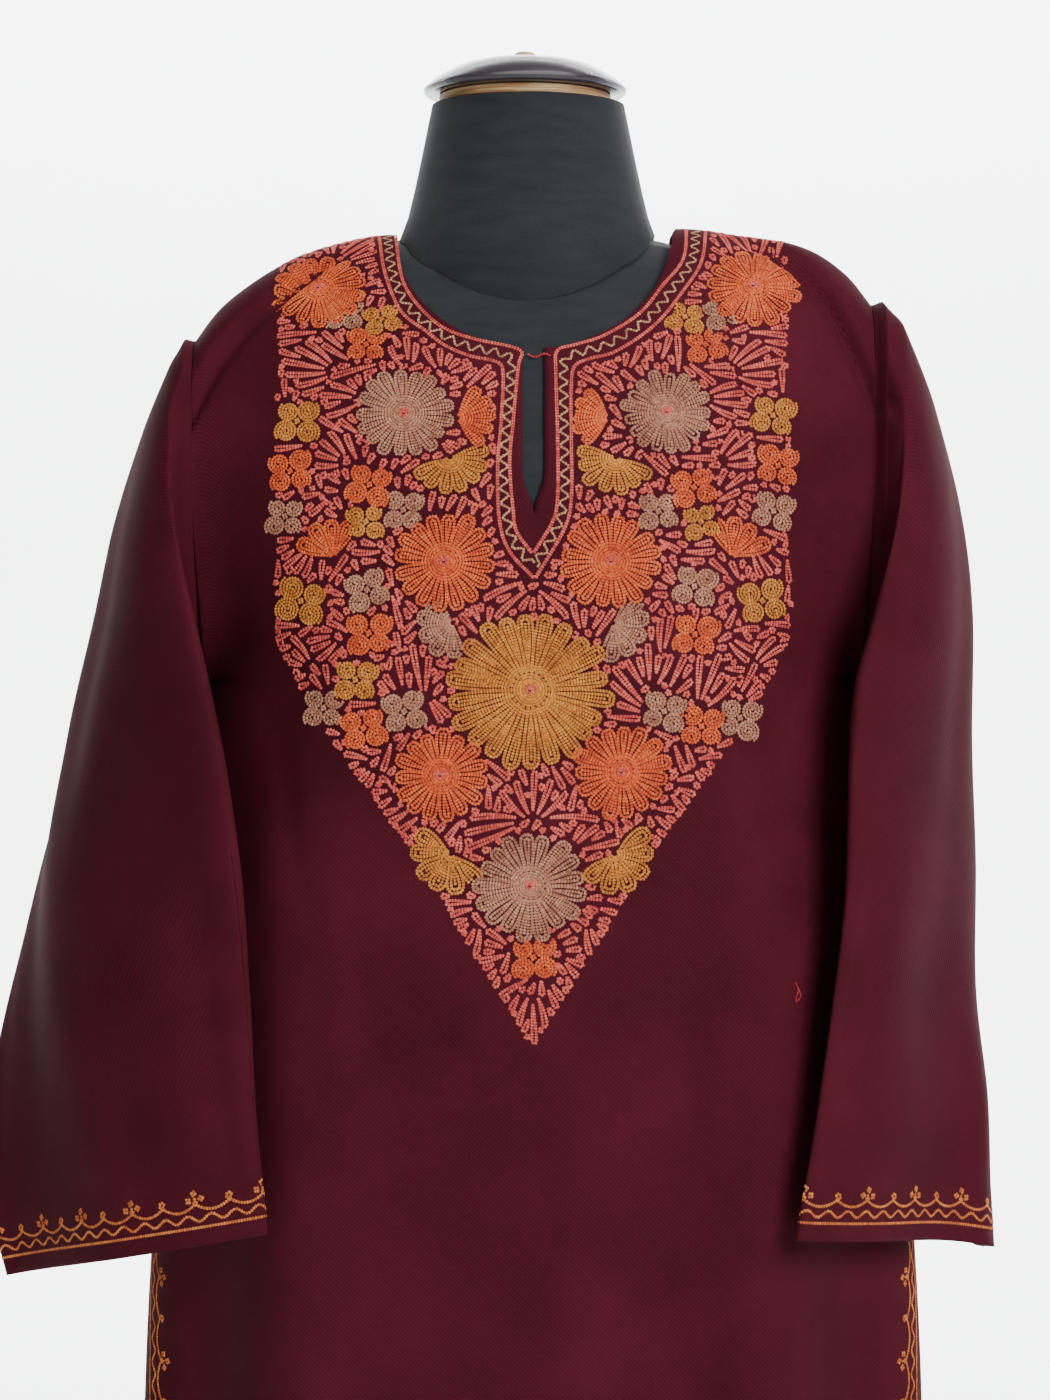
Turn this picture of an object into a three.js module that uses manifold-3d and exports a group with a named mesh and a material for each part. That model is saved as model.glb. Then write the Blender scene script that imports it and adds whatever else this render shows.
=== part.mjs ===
// Pheran worn by a limbless dress form on a stand.
// Millimetres, +Z up, front of the garment towards -Y, origin under the middle of the base.
import * as THREE from 'three';
import { mergeVertices } from 'three/addons/utils/BufferGeometryUtils.js';
import Module from 'manifold-3d';

const wasm = await Module();
wasm.setup();

// Driving dimensions of the garment
const clothThickness = 1.6;
const seamGap = 0.3;
const wearGap = 0.35; // between the cloth and the form that carries it
const hemHeight = 310;
const slitTop = 792;
const underarmHeight = 1105;
const armholeTop = 1342;
const garmentShift = 5; // the garment sits a little to the right on the form
const neckHalfWidth = 84;
const neckHeight = 1384; // neck points, on the shoulder seam
const frontNeckDrop = 78;
const backNeckDrop = 42;
const neckSlit = { halfWidth: 6.5, top: 1330, shoulder: 1228, tip: 1204, narrowing: 0.8, tipRound: 6 };
const armholeFront = 50; // how far the armhole opens to the front of the seam
const armholeBack = 46;
const armholeGap = 0.5; // a sleeve's first ring lies this far outwards of the panels' edges
const sleeveLead = 4; // a sleeve leaves the armhole squarely for this far
const sectionPower = 2.7; // squareness of the body's sections
const edgeReach = 6; // higher keeps the edges' own depth closer to the edges
const underarmReach = 32; // the same at the foot of the armhole
const reachFade = 8; // how soon the foot's reach gives way up the armhole
const foldFade = 4; // folds die out over the last quarter of the width
const openEdgeFold = 0.4; // share of a fold that still shows at an open edge

// Driving dimensions of the dress form and its stand
const formBottom = 700;
const figureSquareness = 2.3; // of the torso's sections
const capRadius = 64;
const capHeight = 21;
const plywoodRadius = 54;
const plywoodThickness = 6;
const neckTop = 1466;
const knobRadius = 7;
const knobHeight = 6;
const poleRadius = 16;
const socketRadius = 27;
const socketHeight = 34;
const baseRadius = 190;
const baseThickness = 12;
const hubRadius = 32;
const hubHeight = 26;
const collarSlope = 4;
const chamfers = { plywood: 0.6, knob: 1, base: 2.5, pole: 0.8 };
const weldDistance = 1e-4;

// Resolution of the grids
const panelColumns = 28;
const skirtRows = 14;
const armholeSteps = 10;
const sleeveSides = armholeSteps * 2;
const roomRows = 8; // rows of the body's room that are kept below the underarm
const formSides = 36;
const torsoSteps = 22;
const neckSteps = 10;
const turnedSides = 24;

// Body of the garment: half width and depths of the front and back, at heights.
// An edge depth above zero opens the side slit; flatness 1 draws a section straight to its edges.
const body = [
  { at: hemHeight, width: 240, front: 130, back: 112, frontEdge: 36, backEdge: 30, flatness: 0.9 },
  { at: 500, width: 238, front: 126, back: 108, frontEdge: 27, backEdge: 24, flatness: 0.8 },
  { at: 680, width: 235, front: 122, back: 105, frontEdge: 15, backEdge: 14, flatness: 0.55 },
  { at: slitTop, width: 230, front: 120, back: 103, frontEdge: 0, backEdge: 0, flatness: 0.3 },
  { at: 950, width: 217, front: 119, back: 102, frontEdge: 0, backEdge: 0, flatness: 0.35 },
  { at: underarmHeight, width: 201, front: 119, back: 101, frontEdge: 0, backEdge: 0, flatness: 0.75 },
  { at: 1200, width: 203, front: 119, back: 101, frontEdge: 0, backEdge: 0, flatness: 1 },
  { at: armholeTop, width: 206, front: 119, back: 101, frontEdge: 0, backEdge: 0, flatness: 1 },
];

// Shoulder line across the body, from the wearer's right arm to the left one
const shoulder = [
  { at: -206, height: 1304 },
  { at: -186, height: 1331 },
  { at: -164, height: 1350 },
  { at: -138, height: 1364 },
  { at: -108, height: 1376 },
  { at: -78, height: 1384 },
  { at: 5, height: 1388 },
  { at: 90, height: 1386 },
  { at: 120, height: 1382 },
  { at: 150, height: 1375 },
  { at: 178, height: 1365 },
  { at: 198, height: 1351 },
  { at: 212, height: 1334 },
];

// Largest folds: across at their top and at the hem, where they start and are full,
// half width, and how far they stand out (or in, below zero)
const frontFolds = [
  { xTop: -152, xHem: -146, start: 1120, full: 880, spread: 36, rise: 11 },
  { xTop: -196, xHem: -190, start: 1080, full: 860, spread: 24, rise: -9 },
  { xTop: 148, xHem: 136, start: 1090, full: 860, spread: 34, rise: 11 },
  { xTop: 196, xHem: 182, start: 1080, full: 860, spread: 26, rise: -9 },
  { xTop: 74, xHem: 62, start: 930, full: 700, spread: 32, rise: -6 },
  { xTop: -60, xHem: -78, start: 640, full: 420, spread: 34, rise: -6 },
  { xTop: -8, xHem: -2, start: 700, full: 460, spread: 40, rise: 5 },
];
const backFolds = [
  { xTop: -140, xHem: -150, start: 1150, full: 850, spread: 36, rise: 11 },
  { xTop: -82, xHem: -92, start: 1100, full: 800, spread: 30, rise: -8 },
  { xTop: 0, xHem: 8, start: 1130, full: 800, spread: 44, rise: 8 },
  { xTop: 84, xHem: 96, start: 1100, full: 800, spread: 30, rise: -9 },
  { xTop: 146, xHem: 156, start: 1150, full: 850, spread: 34, rise: 10 },
];

// Sleeves, ring by ring from the armhole down. Each ring passes through its under point (u),
// outer point (o), front fold (f) and back fold (b): x outwards, y to the back, z up.
const ringColumns = 'ux uy uz ox oy oz fx fy fz bx by bz';
const tableOf = (columns, lines) => {
  const names = columns.split(' ');
  return lines.map((line) => Object.fromEntries(line.map((value, k) => [names[k], value])));
};
const leftSleeve = tableOf(ringColumns, [
  [200, 0, 1101, 213, 0, 1301, 206, -60, 1204, 206, 56, 1204],
  [204, 0, 1092, 227, 0, 1256, 202, -78, 1176, 214, 70, 1176],
  [207, 0, 1080, 243, 0, 1206, 195, -92, 1144, 224, 80, 1144],
  [210, 0, 1064, 259, 0, 1146, 187, -105, 1104, 236, 82, 1108],
  [215, -6, 1034, 277, -8, 1072, 178, -119, 1052, 252, 76, 1056],
  [222, -20, 972, 285, -22, 996, 168, -129, 984, 278, 56, 984],
  [231, -42, 906, 280, -60, 914, 161, -135, 914, 306, 26, 908],
  [232, -68, 846, 262, -98, 844, 156, -139, 850, 320, -6, 838],
  [231, -84, 796, 250, -112, 793, 151, -142, 806, 318, -30, 782],
  [230, -88, 757, 247, -115, 756, 148, -142, 776, 311, -40, 736],
]);
const rightSleeve = tableOf(ringColumns, [
  [210, 0, 1101, 226, 0, 1326, 219, -62, 1214, 217, 56, 1214],
  [213, 0, 1092, 250, 0, 1276, 218, -80, 1184, 226, 72, 1184],
  [215, 0, 1080, 266, 0, 1218, 212, -92, 1150, 238, 84, 1150],
  [218, 0, 1064, 273, 0, 1150, 202, -104, 1108, 246, 90, 1108],
  [224, -2, 1030, 277, 0, 1068, 196, -112, 1050, 256, 90, 1050],
  [230, -8, 968, 279, -10, 990, 188, -121, 978, 268, 80, 978],
  [236, -20, 900, 269, -34, 908, 178, -129, 908, 274, 62, 904],
  [239, -34, 842, 262, -54, 844, 169, -135, 848, 280, 38, 838],
  [240, -44, 796, 258, -66, 795, 161, -138, 802, 285, 16, 786],
  [240, -48, 762, 257, -69, 760, 156, -139, 772, 287, 4, 748],
]);
const sleeveRings = 19; // rings below the armhole, evenly along the table

// Sleeve folds: where round the ring (in degrees from the front fold over the outside) at the
// shoulder and at the cuff, the table rows at which they start and are full, half width, rise
const leftSleeveFolds = [
  { turnTop: 105, turnCuff: 128, start: 2.5, full: 5, spread: 24, rise: -7 },
  { turnTop: 60, turnCuff: 52, start: 4, full: 7, spread: 26, rise: 4 },
  { turnTop: 250, turnCuff: 232, start: 3, full: 6, spread: 24, rise: -5 },
];
const rightSleeveFolds = [
  { turnTop: 66, turnCuff: 84, start: 3, full: 6, spread: 24, rise: -6 },
  { turnTop: 120, turnCuff: 134, start: 4, full: 7, spread: 24, rise: 4 },
  { turnTop: 238, turnCuff: 252, start: 3, full: 6, spread: 24, rise: -5 },
];

// Dress form: half width and depths of its sections, at heights
const figure = [
  { at: formBottom, width: 150, front: 84, back: 92 },
  { at: 760, width: 166, front: 92, back: 99 },
  { at: 850, width: 170, front: 96, back: 97 },
  { at: 940, width: 146, front: 90, back: 82 },
  { at: 1000, width: 134, front: 88, back: 78 },
  { at: 1070, width: 146, front: 98, back: 85 },
  { at: 1140, width: 158, front: 111, back: 94 },
  { at: 1230, width: 166, front: 122, back: 106 },
  { at: 1320, width: 171, front: 124, back: 108 },
  { at: 1410, width: 171, front: 124, back: 108 },
];

// Neck block of the form: half width and depths at each height
const neck = [
  { at: 1290, width: 58, front: 58, back: 40 },
  { at: 1340, width: 74, front: 66, back: 48 },
  { at: 1366, width: 82, front: 68, back: 50 },
  { at: 1380, width: 78, front: 66, back: 50 },
  { at: 1392, width: 73.5, front: 64, back: 51 },
  { at: 1406, width: 70, front: 62, back: 52 },
  { at: 1430, width: 65, front: 59, back: 52 },
  { at: neckTop, width: 58, front: 57, back: 51 },
];

// One column of a table at any place, on a smooth curve through the rows
function read(table, column, at) {
  const last = table.length - 1;
  let i = 0;
  while (i < last - 1 && at > table[i + 1].at) i++;
  const slope = (k) => {
    const low = table[Math.max(k - 1, 0)];
    const high = table[Math.min(k + 1, last)];
    return (high[column] - low[column]) / (high.at - low.at);
  };
  const span = table[i + 1].at - table[i].at;
  const t = THREE.MathUtils.clamp((at - table[i].at) / span, 0, 1);
  const from = table[i][column];
  const to = table[i + 1][column];
  const ease = t * t * (3 - 2 * t);
  return from + (to - from) * ease
    + span * (slope(i) * t * (1 - t) ** 2 - slope(i + 1) * t * t * (1 - t));
}

// Every column of a sleeve's table at a place between its rows
function readRing(table, place) {
  const indexed = table.map((row, at) => ({ ...row, at }));
  const ring = {};
  for (const column of Object.keys(table[0])) ring[column] = read(indexed, column, place);
  return ring;
}

// Edge depths stay at zero above the slit, without the curve's overshoot
function edgeDepth(column, z) {
  return z >= slitTop ? 0 : Math.max(read(body, column, z), 0);
}

function foldRise(folds, x, z) {
  let rise = 0;
  for (const fold of folds) {
    const down = THREE.MathUtils.clamp((fold.start - z) / (fold.start - hemHeight), 0, 1);
    const centre = THREE.MathUtils.lerp(fold.xTop, fold.xHem, down);
    const strength = THREE.MathUtils.smoothstep(fold.start - z, 0, fold.start - fold.full);
    rise += fold.rise * strength * Math.exp(-(((x - garmentShift - centre) / fold.spread) ** 2));
  }
  return rise;
}

// Rows of a panel: heights below the underarm, then shares of the way up to the shoulder line
const rows = [];
for (let i = 0; i < skirtRows; i++) {
  rows.push({ z: THREE.MathUtils.lerp(hemHeight, underarmHeight, i / skirtRows), share: 0 });
}
for (let k = 0; k <= armholeSteps; k++) {
  rows.push({ z: underarmHeight, share: (1 - Math.cos((Math.PI * k) / armholeSteps)) / 2 });
}
const underarmRow = skirtRows;

// A point of the body's cloth: side is -1 for the front and 1 for the back, across runs from -1 to 1
function bodyPoint(side, row, across) {
  const front = side < 0;
  const level = row.z + (armholeTop - underarmHeight) * row.share;
  const x = garmentShift + across * read(body, 'width', level);
  const z = row.z + (read(shoulder, 'height', x) - row.z) * row.share;
  const armhole = (front ? armholeFront : armholeBack) * 2 * Math.sqrt(row.share * (1 - row.share));
  const edge = row.share > 0 ? armhole : edgeDepth(front ? 'frontEdge' : 'backEdge', row.z);
  const fullDepth = read(body, front ? 'front' : 'back', Math.min(row.z, underarmHeight));
  const centre = fullDepth * Math.sqrt(1 - row.share ** 2);
  const rounded = (1 - Math.abs(across) ** sectionPower) ** (1 / sectionPower);
  const open = 1 - Math.abs(across) ** 3;
  const shape = THREE.MathUtils.lerp(rounded, open, read(body, 'flatness', level));
  const atEdge = edge > 0 && row.share === 0 ? openEdgeFold : 0;
  const fade = Math.min(1, foldFade * (1 - Math.abs(across)) + atEdge);
  const rise = foldRise(front ? frontFolds : backFolds, x, z) * fade * Math.sqrt(1 - row.share ** 2);
  const foot = row.share > 0 ? (underarmReach - edgeReach) * (1 - row.share) ** reachFade : 0;
  const depth = centre * shape + edge * Math.abs(across) ** (edgeReach + foot) + rise + seamGap / 2;
  return new THREE.Vector3(x, side * depth, z);
}

// Grid of a panel's outer points, row by row from the hem, columns closer towards the side seams.
// Columns run anticlockwise seen from above: to +X on the front, to -X on the back.
function panelGrid(side) {
  return rows.map((row) => {
    const line = [];
    for (let j = 0; j <= panelColumns; j++) {
      line.push(bodyPoint(side, row, -side * Math.sin(Math.PI * (j / panelColumns - 0.5))));
    }
    return line;
  });
}

// Outward normals of a grid; a grid that closes on itself wraps round its columns
function gridNormals(grid, wraps, flip) {
  const lastRow = grid.length - 1;
  return grid.map((line, i) => line.map((point, j) => {
    const count = line.length;
    const before = wraps ? (j + count - 1) % count : Math.max(j - 1, 0);
    const after = wraps ? (j + 1) % count : Math.min(j + 1, count - 1);
    const across = new THREE.Vector3().subVectors(line[after], line[before]);
    const above = grid[Math.min(i + 1, lastRow)][j];
    const up = new THREE.Vector3().subVectors(above, grid[Math.max(i - 1, 0)][j]);
    return across.cross(up).normalize().multiplyScalar(flip);
  }));
}

// A side seam's and the shoulder seam's edges face each other squarely
function squareSeams(normals) {
  normals.forEach((line, i) => line.forEach((normal, j) => {
    const onSide = (j === 0 || j === line.length - 1) && rows[i].share === 0 && rows[i].z >= slitTop;
    if (onSide || i === normals.length - 1) normal.setY(0).normalize();
  }));
}

function offsetGrid(grid, normals, distance) {
  const moved = (point, i, j) => point.clone().addScaledVector(normals[i][j], distance);
  return grid.map((line, i) => line.map((point, j) => moved(point, i, j)));
}

function geometryFrom(positions, triangles) {
  const geometry = new THREE.BufferGeometry();
  const numbers = positions.flatMap((point) => [point.x, point.y, point.z]);
  geometry.setAttribute('position', new THREE.Float32BufferAttribute(numbers, 3));
  geometry.setIndex(triangles);
  return geometry;
}

// A wall between an outer and an inner grid, closed at its edges
function wall(outer, inner, wraps, flip) {
  const rowCount = outer.length;
  const count = outer[0].length;
  const positions = [...outer.flat(), ...inner.flat()];
  const at = (layer, i, j) => layer * rowCount * count + i * count + (j % count);
  const triangles = [];
  const quad = (a, b, c, d) => {
    if (flip > 0) triangles.push(a, b, c, a, c, d);
    else triangles.push(a, c, b, a, d, c);
  };
  const spans = wraps ? count : count - 1;
  for (let i = 0; i < rowCount - 1; i++) {
    for (let j = 0; j < spans; j++) {
      quad(at(0, i, j), at(0, i, j + 1), at(0, i + 1, j + 1), at(0, i + 1, j));
      quad(at(1, i, j), at(1, i + 1, j), at(1, i + 1, j + 1), at(1, i, j + 1));
    }
    if (!wraps) {
      quad(at(0, i, 0), at(0, i + 1, 0), at(1, i + 1, 0), at(1, i, 0));
      quad(at(0, i, spans), at(1, i, spans), at(1, i + 1, spans), at(0, i + 1, spans));
    }
  }
  const top = rowCount - 1;
  for (let j = 0; j < spans; j++) {
    quad(at(0, 0, j), at(1, 0, j), at(1, 0, j + 1), at(0, 0, j + 1));
    quad(at(0, top, j), at(0, top, j + 1), at(1, top, j + 1), at(1, top, j));
  }
  return geometryFrom(positions, triangles);
}

// A solid through closed rings, with a fan over each end; rings turn anticlockwise seen from above
function ringSolid(rings) {
  const count = rings[0].length;
  const positions = rings.flat();
  const triangles = [];
  for (let i = 0; i < rings.length - 1; i++) {
    for (let j = 0; j < count; j++) {
      const [a, b] = [i * count + j, i * count + ((j + 1) % count)];
      triangles.push(a, b, b + count, a, b + count, a + count);
    }
  }
  for (const [ring, up] of [[0, false], [rings.length - 1, true]]) {
    const centre = new THREE.Vector3();
    rings[ring].forEach((point) => centre.addScaledVector(point, 1 / count));
    positions.push(centre);
    const hub = positions.length - 1;
    for (let j = 0; j < count; j++) {
      const [a, b] = [ring * count + j, ring * count + ((j + 1) % count)];
      triangles.push(...(up ? [hub, a, b] : [hub, b, a]));
    }
  }
  return geometryFrom(positions, triangles);
}

function toSolid(geometry) {
  const bare = geometry.clone();
  bare.deleteAttribute('normal');
  bare.deleteAttribute('uv');
  const merged = mergeVertices(bare, weldDistance);
  const mesh = new wasm.Mesh({
    numProp: 3,
    vertProperties: Float32Array.from(merged.attributes.position.array),
    triVerts: Uint32Array.from(merged.index.array),
  });
  return new wasm.Manifold(mesh);
}

function fromSolid(solid) {
  const { numProp, vertProperties, triVerts } = solid.getMesh();
  const geometry = new THREE.BufferGeometry();
  const positions = [];
  for (let i = 0; i < vertProperties.length; i += numProp) {
    positions.push(...vertProperties.slice(i, i + 3));
  }
  geometry.setAttribute('position', new THREE.Float32BufferAttribute(positions, 3));
  geometry.setIndex(Array.from(triVerts));
  return geometry;
}

// A cutter from an outline in x and z, reaching all the way from front to back
function cutterAlongY(shape) {
  const reach = 400;
  const settings = { depth: reach, bevelEnabled: false, curveSegments: 10 };
  const geometry = new THREE.ExtrudeGeometry(shape, settings);
  geometry.rotateX(Math.PI / 2);
  geometry.translate(0, reach / 2, 0);
  return toSolid(geometry);
}

function neckCutter(drop) {
  const above = 60;
  const shape = new THREE.Shape();
  shape.moveTo(garmentShift - neckHalfWidth, neckHeight + above);
  shape.lineTo(garmentShift - neckHalfWidth, neckHeight);
  shape.absellipse(garmentShift, neckHeight, neckHalfWidth, drop, Math.PI, 2 * Math.PI, false);
  shape.lineTo(garmentShift + neckHalfWidth, neckHeight + above);
  return cutterAlongY(shape);
}

function slitCutter() {
  const { halfWidth, top, shoulder: widest, tip, narrowing, tipRound } = neckSlit;
  const narrow = halfWidth * narrowing;
  const shape = new THREE.Shape();
  shape.moveTo(garmentShift, tip);
  shape.quadraticCurveTo(garmentShift + narrow, tip + tipRound, garmentShift + halfWidth, widest);
  shape.lineTo(garmentShift + narrow, top);
  shape.lineTo(garmentShift - narrow, top);
  shape.lineTo(garmentShift - halfWidth, widest);
  shape.quadraticCurveTo(garmentShift - narrow, tip + tipRound, garmentShift, tip);
  return cutterAlongY(shape);
}

// Grids of the two panels, their normals, and the panels themselves
const frontGrid = panelGrid(-1);
const frontNormals = gridNormals(frontGrid, false, 1);
squareSeams(frontNormals);
const backGrid = panelGrid(1);
const backNormals = gridNormals(backGrid, false, 1);
squareSeams(backNormals);

function frontPanel() {
  const sheet = wall(frontGrid, offsetGrid(frontGrid, frontNormals, -clothThickness), false, 1);
  const cut = toSolid(sheet).subtract(neckCutter(frontNeckDrop)).subtract(slitCutter());
  return fromSolid(cut);
}

function backPanel() {
  const sheet = wall(backGrid, offsetGrid(backGrid, backNormals, -clothThickness), false, 1);
  return fromSolid(toSolid(sheet).subtract(neckCutter(backNeckDrop)));
}

// The armhole as a ring of points and normals on the panels' edges, from the front fold over the top.
// Each point stands off the panel's edge by the seam gap, square to the edge and along the cloth.
function armholeRing(hand) {
  const edges = [];
  const normals = [];
  const quarter = armholeSteps / 2;
  for (let j = 0; j < sleeveSides; j++) {
    const onFront = j <= quarter || j > quarter * 3;
    const step = onFront ? (j + quarter) % sleeveSides : quarter * 3 - j;
    const row = underarmRow + step;
    const column = onFront === hand < 0 ? 0 : panelColumns;
    const edge = (onFront ? frontGrid : backGrid)[row][column].clone();
    if (step === 0 || step === armholeSteps) edge.setY(0);
    edges.push(edge);
    normals.push((onFront ? frontNormals : backNormals)[row][column]);
  }
  const centre = new THREE.Vector3();
  edges.forEach((edge) => centre.addScaledVector(edge, 1 / sleeveSides));
  const points = edges.map((edge, j) => {
    const along = edges[(j + 1) % sleeveSides].clone().sub(edges[(j + sleeveSides - 1) % sleeveSides]);
    const leaving = along.cross(normals[j]).normalize();
    const inwards = Math.sign(leaving.dot(centre.clone().sub(edge)));
    return edge.clone().addScaledVector(leaving, inwards * seamGap).setX(edge.x + hand * armholeGap);
  });
  return { points, normals };
}

// How far a sleeve's folds stand out at a place along its table and a turn round its ring
function sleeveRise(folds, place, last, turn) {
  let rise = 0;
  for (const fold of folds) {
    const centre = THREE.MathUtils.lerp(fold.turnTop, fold.turnCuff, place / last);
    const strength = THREE.MathUtils.smoothstep(place, fold.start, fold.full);
    const off = (THREE.MathUtils.radToDeg(turn) - centre) / fold.spread;
    rise += fold.rise * strength * Math.exp(-(off ** 2));
  }
  return rise;
}

function sleeve(table, folds, hand) {
  const armhole = armholeRing(hand);
  const lead = new THREE.Vector3(hand * sleeveLead, 0, 0);
  const grid = [armhole.points, armhole.points.map((point) => point.clone().add(lead))];
  const last = table.length - 1;
  for (let i = 0; i < sleeveRings; i++) {
    const place = (i * last) / (sleeveRings - 1);
    const ring = readRing(table, place);
    const corner = (key) => new THREE.Vector3(hand * ring[`${key}x`], ring[`${key}y`], ring[`${key}z`]);
    const [under, outer, front, back] = ['u', 'o', 'f', 'b'].map(corner);
    const middle = front.clone().add(back).divideScalar(2);
    const halfLong = front.clone().sub(back).divideScalar(2);
    const halfDeep = outer.clone().sub(under).divideScalar(2);
    const bow = outer.clone().add(under).divideScalar(2).sub(middle);
    const line = [];
    for (let j = 0; j < sleeveSides; j++) {
      const turn = (2 * Math.PI * j) / sleeveSides;
      const rise = sleeveRise(folds, place, last, turn) * Math.sign(Math.sin(turn));
      line.push(middle.clone()
        .addScaledVector(halfLong, Math.cos(turn))
        .addScaledVector(halfDeep, Math.sin(turn))
        .addScaledVector(bow, Math.sin(turn) ** 2)
        .addScaledVector(halfDeep.clone().normalize(), rise));
    }
    grid.push(line);
  }
  const normals = gridNormals(grid, true, hand);
  normals[0] = armhole.normals;
  return wall(grid, offsetGrid(grid, normals, -clothThickness), true, hand);
}

// The room inside the uncut body, down from its outer points by a distance along the normals
function insideRoom(distance) {
  const fronts = offsetGrid(frontGrid, frontNormals, -distance);
  const backs = offsetGrid(backGrid, backNormals, -distance);
  const last = fronts.length - 1;
  const rings = fronts.map((line, i) => [...line, ...(i < last ? backs[i] : [...line].reverse())]);
  return toSolid(ringSolid(rings.slice(underarmRow - roomRows)));
}

function figureSolid() {
  const rings = [];
  const power = 2 / figureSquareness;
  for (let i = 0; i <= torsoSteps; i++) {
    const z = THREE.MathUtils.lerp(formBottom, figure[figure.length - 1].at, i / torsoSteps);
    const ring = [];
    for (let j = 0; j < formSides; j++) {
      const turn = (2 * Math.PI * j) / formSides;
      const [c, s] = [Math.cos(turn), Math.sin(turn)];
      const depth = read(figure, s < 0 ? 'front' : 'back', z);
      ring.push(new THREE.Vector3(
        read(figure, 'width', z) * Math.sign(c) * Math.abs(c) ** power,
        depth * Math.sign(s) * Math.abs(s) ** power,
        z,
      ));
    }
    rings.push(ring);
  }
  return toSolid(ringSolid(rings));
}

function mirrored(geometry) {
  const copy = geometry.clone();
  copy.scale(-1, 1, 1);
  const index = copy.index.array;
  for (let i = 0; i < index.length; i += 3) [index[i], index[i + 1]] = [index[i + 1], index[i]];
  return copy;
}

function torso() {
  const room = insideRoom(clothThickness + wearGap);
  const otherRoom = toSolid(mirrored(fromSolid(room)));
  return fromSolid(figureSolid().intersect(room).intersect(otherRoom));
}

function neckBlock() {
  const rings = [];
  for (let i = 0; i <= neckSteps; i++) {
    const z = THREE.MathUtils.lerp(neck[0].at, neckTop, i / neckSteps);
    const ring = [];
    for (let j = 0; j < formSides; j++) {
      const turn = (2 * Math.PI * j) / formSides;
      const depth = read(neck, Math.sin(turn) < 0 ? 'front' : 'back', z);
      ring.push(new THREE.Vector3(read(neck, 'width', z) * Math.cos(turn), depth * Math.sin(turn), z));
    }
    rings.push(ring);
  }
  const room = insideRoom(clothThickness + wearGap - seamGap);
  return fromSolid(toSolid(ringSolid(rings)).subtract(room));
}

// A turned piece from a profile of radius and height, closed on its axis
function turned(profile, sides) {
  const geometry = new THREE.LatheGeometry(profile.map(([r, z]) => new THREE.Vector2(r, z)), sides);
  geometry.rotateX(Math.PI / 2);
  return mergeVertices(stripped(geometry), weldDistance);
}

function stripped(geometry) {
  geometry.deleteAttribute('normal');
  geometry.deleteAttribute('uv');
  return geometry;
}

function cap() {
  const flat = capRadius * 0.42;
  return turned([
    [0, 0], [capRadius - 4, 0], [capRadius - 1, 1], [capRadius, 3], [capRadius - 1.5, 5],
    [capRadius * 0.9, 9], [capRadius * 0.76, 14.5], [capRadius * 0.6, 18.8], [flat, capHeight],
    [0, capHeight],
  ], turnedSides * 2);
}

function disc(radius, height, chamfer) {
  return turned([
    [0, 0], [radius - chamfer, 0], [radius, chamfer],
    [radius, height - chamfer], [radius - chamfer, height], [0, height],
  ], turnedSides);
}

const materials = {
  cloth: new THREE.MeshStandardMaterial({ color: 0x54192a, roughness: 0.85, metalness: 0 }),
  jersey: new THREE.MeshStandardMaterial({ color: 0x1c1e21, roughness: 0.9, metalness: 0 }),
  cap: new THREE.MeshStandardMaterial({ color: 0x2b2a2e, roughness: 0.2, metalness: 0 }),
  plywood: new THREE.MeshStandardMaterial({ color: 0xb08a5c, roughness: 0.7, metalness: 0 }),
  knob: new THREE.MeshStandardMaterial({ color: 0xcdb38c, roughness: 0.6, metalness: 0 }),
  stand: new THREE.MeshStandardMaterial({ color: 0x232427, roughness: 0.45, metalness: 0.6 }),
};

const pheran = new THREE.Group();

function place(name, geometry, material, height = 0) {
  const mesh = new THREE.Mesh(geometry, material.clone());
  mesh.name = name;
  mesh.position.z = height;
  pheran.add(mesh);
}

place('front_panel', frontPanel(), materials.cloth);
place('back_panel', backPanel(), materials.cloth);
place('sleeve_left', sleeve(leftSleeve, leftSleeveFolds, -1), materials.cloth);
place('sleeve_right', sleeve(rightSleeve, rightSleeveFolds, 1), materials.cloth);
place('form_torso', torso(), materials.jersey);
place('form_neck', neckBlock(), materials.jersey);

const plywoodBottom = neckTop + seamGap;
const capBottom = plywoodBottom + plywoodThickness + seamGap;
const knobBottom = capBottom + capHeight + seamGap;
const plate = disc(plywoodRadius, plywoodThickness, chamfers.plywood);
place('neck_plywood', plate, materials.plywood, plywoodBottom);
place('neck_cap', cap(), materials.cap, capBottom);
place('cap_knob', disc(knobRadius, knobHeight, chamfers.knob), materials.knob, knobBottom);

const poleBottom = baseThickness + seamGap;
const poleTop = formBottom - seamGap;
place('stand_base', disc(baseRadius, baseThickness, chamfers.base), materials.stand);
place('stand_pole', disc(poleRadius, poleTop - poleBottom, chamfers.pole), materials.stand, poleBottom);

// A collar round the pole, open through its middle
function collar(outer, height) {
  const bore = poleRadius + seamGap;
  return turned([
    [bore, 0], [outer, 0], [outer, height - collarSlope], [outer - collarSlope, height],
    [bore, height], [bore, 0],
  ], turnedSides);
}
place('stand_hub', collar(hubRadius, hubHeight), materials.stand, poleBottom);
place('form_socket', collar(socketRadius, socketHeight), materials.stand, poleTop - socketHeight);

export default pheran;
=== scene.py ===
import math

import bmesh
import bpy
import numpy as np
from mathutils import Matrix, Vector


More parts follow.
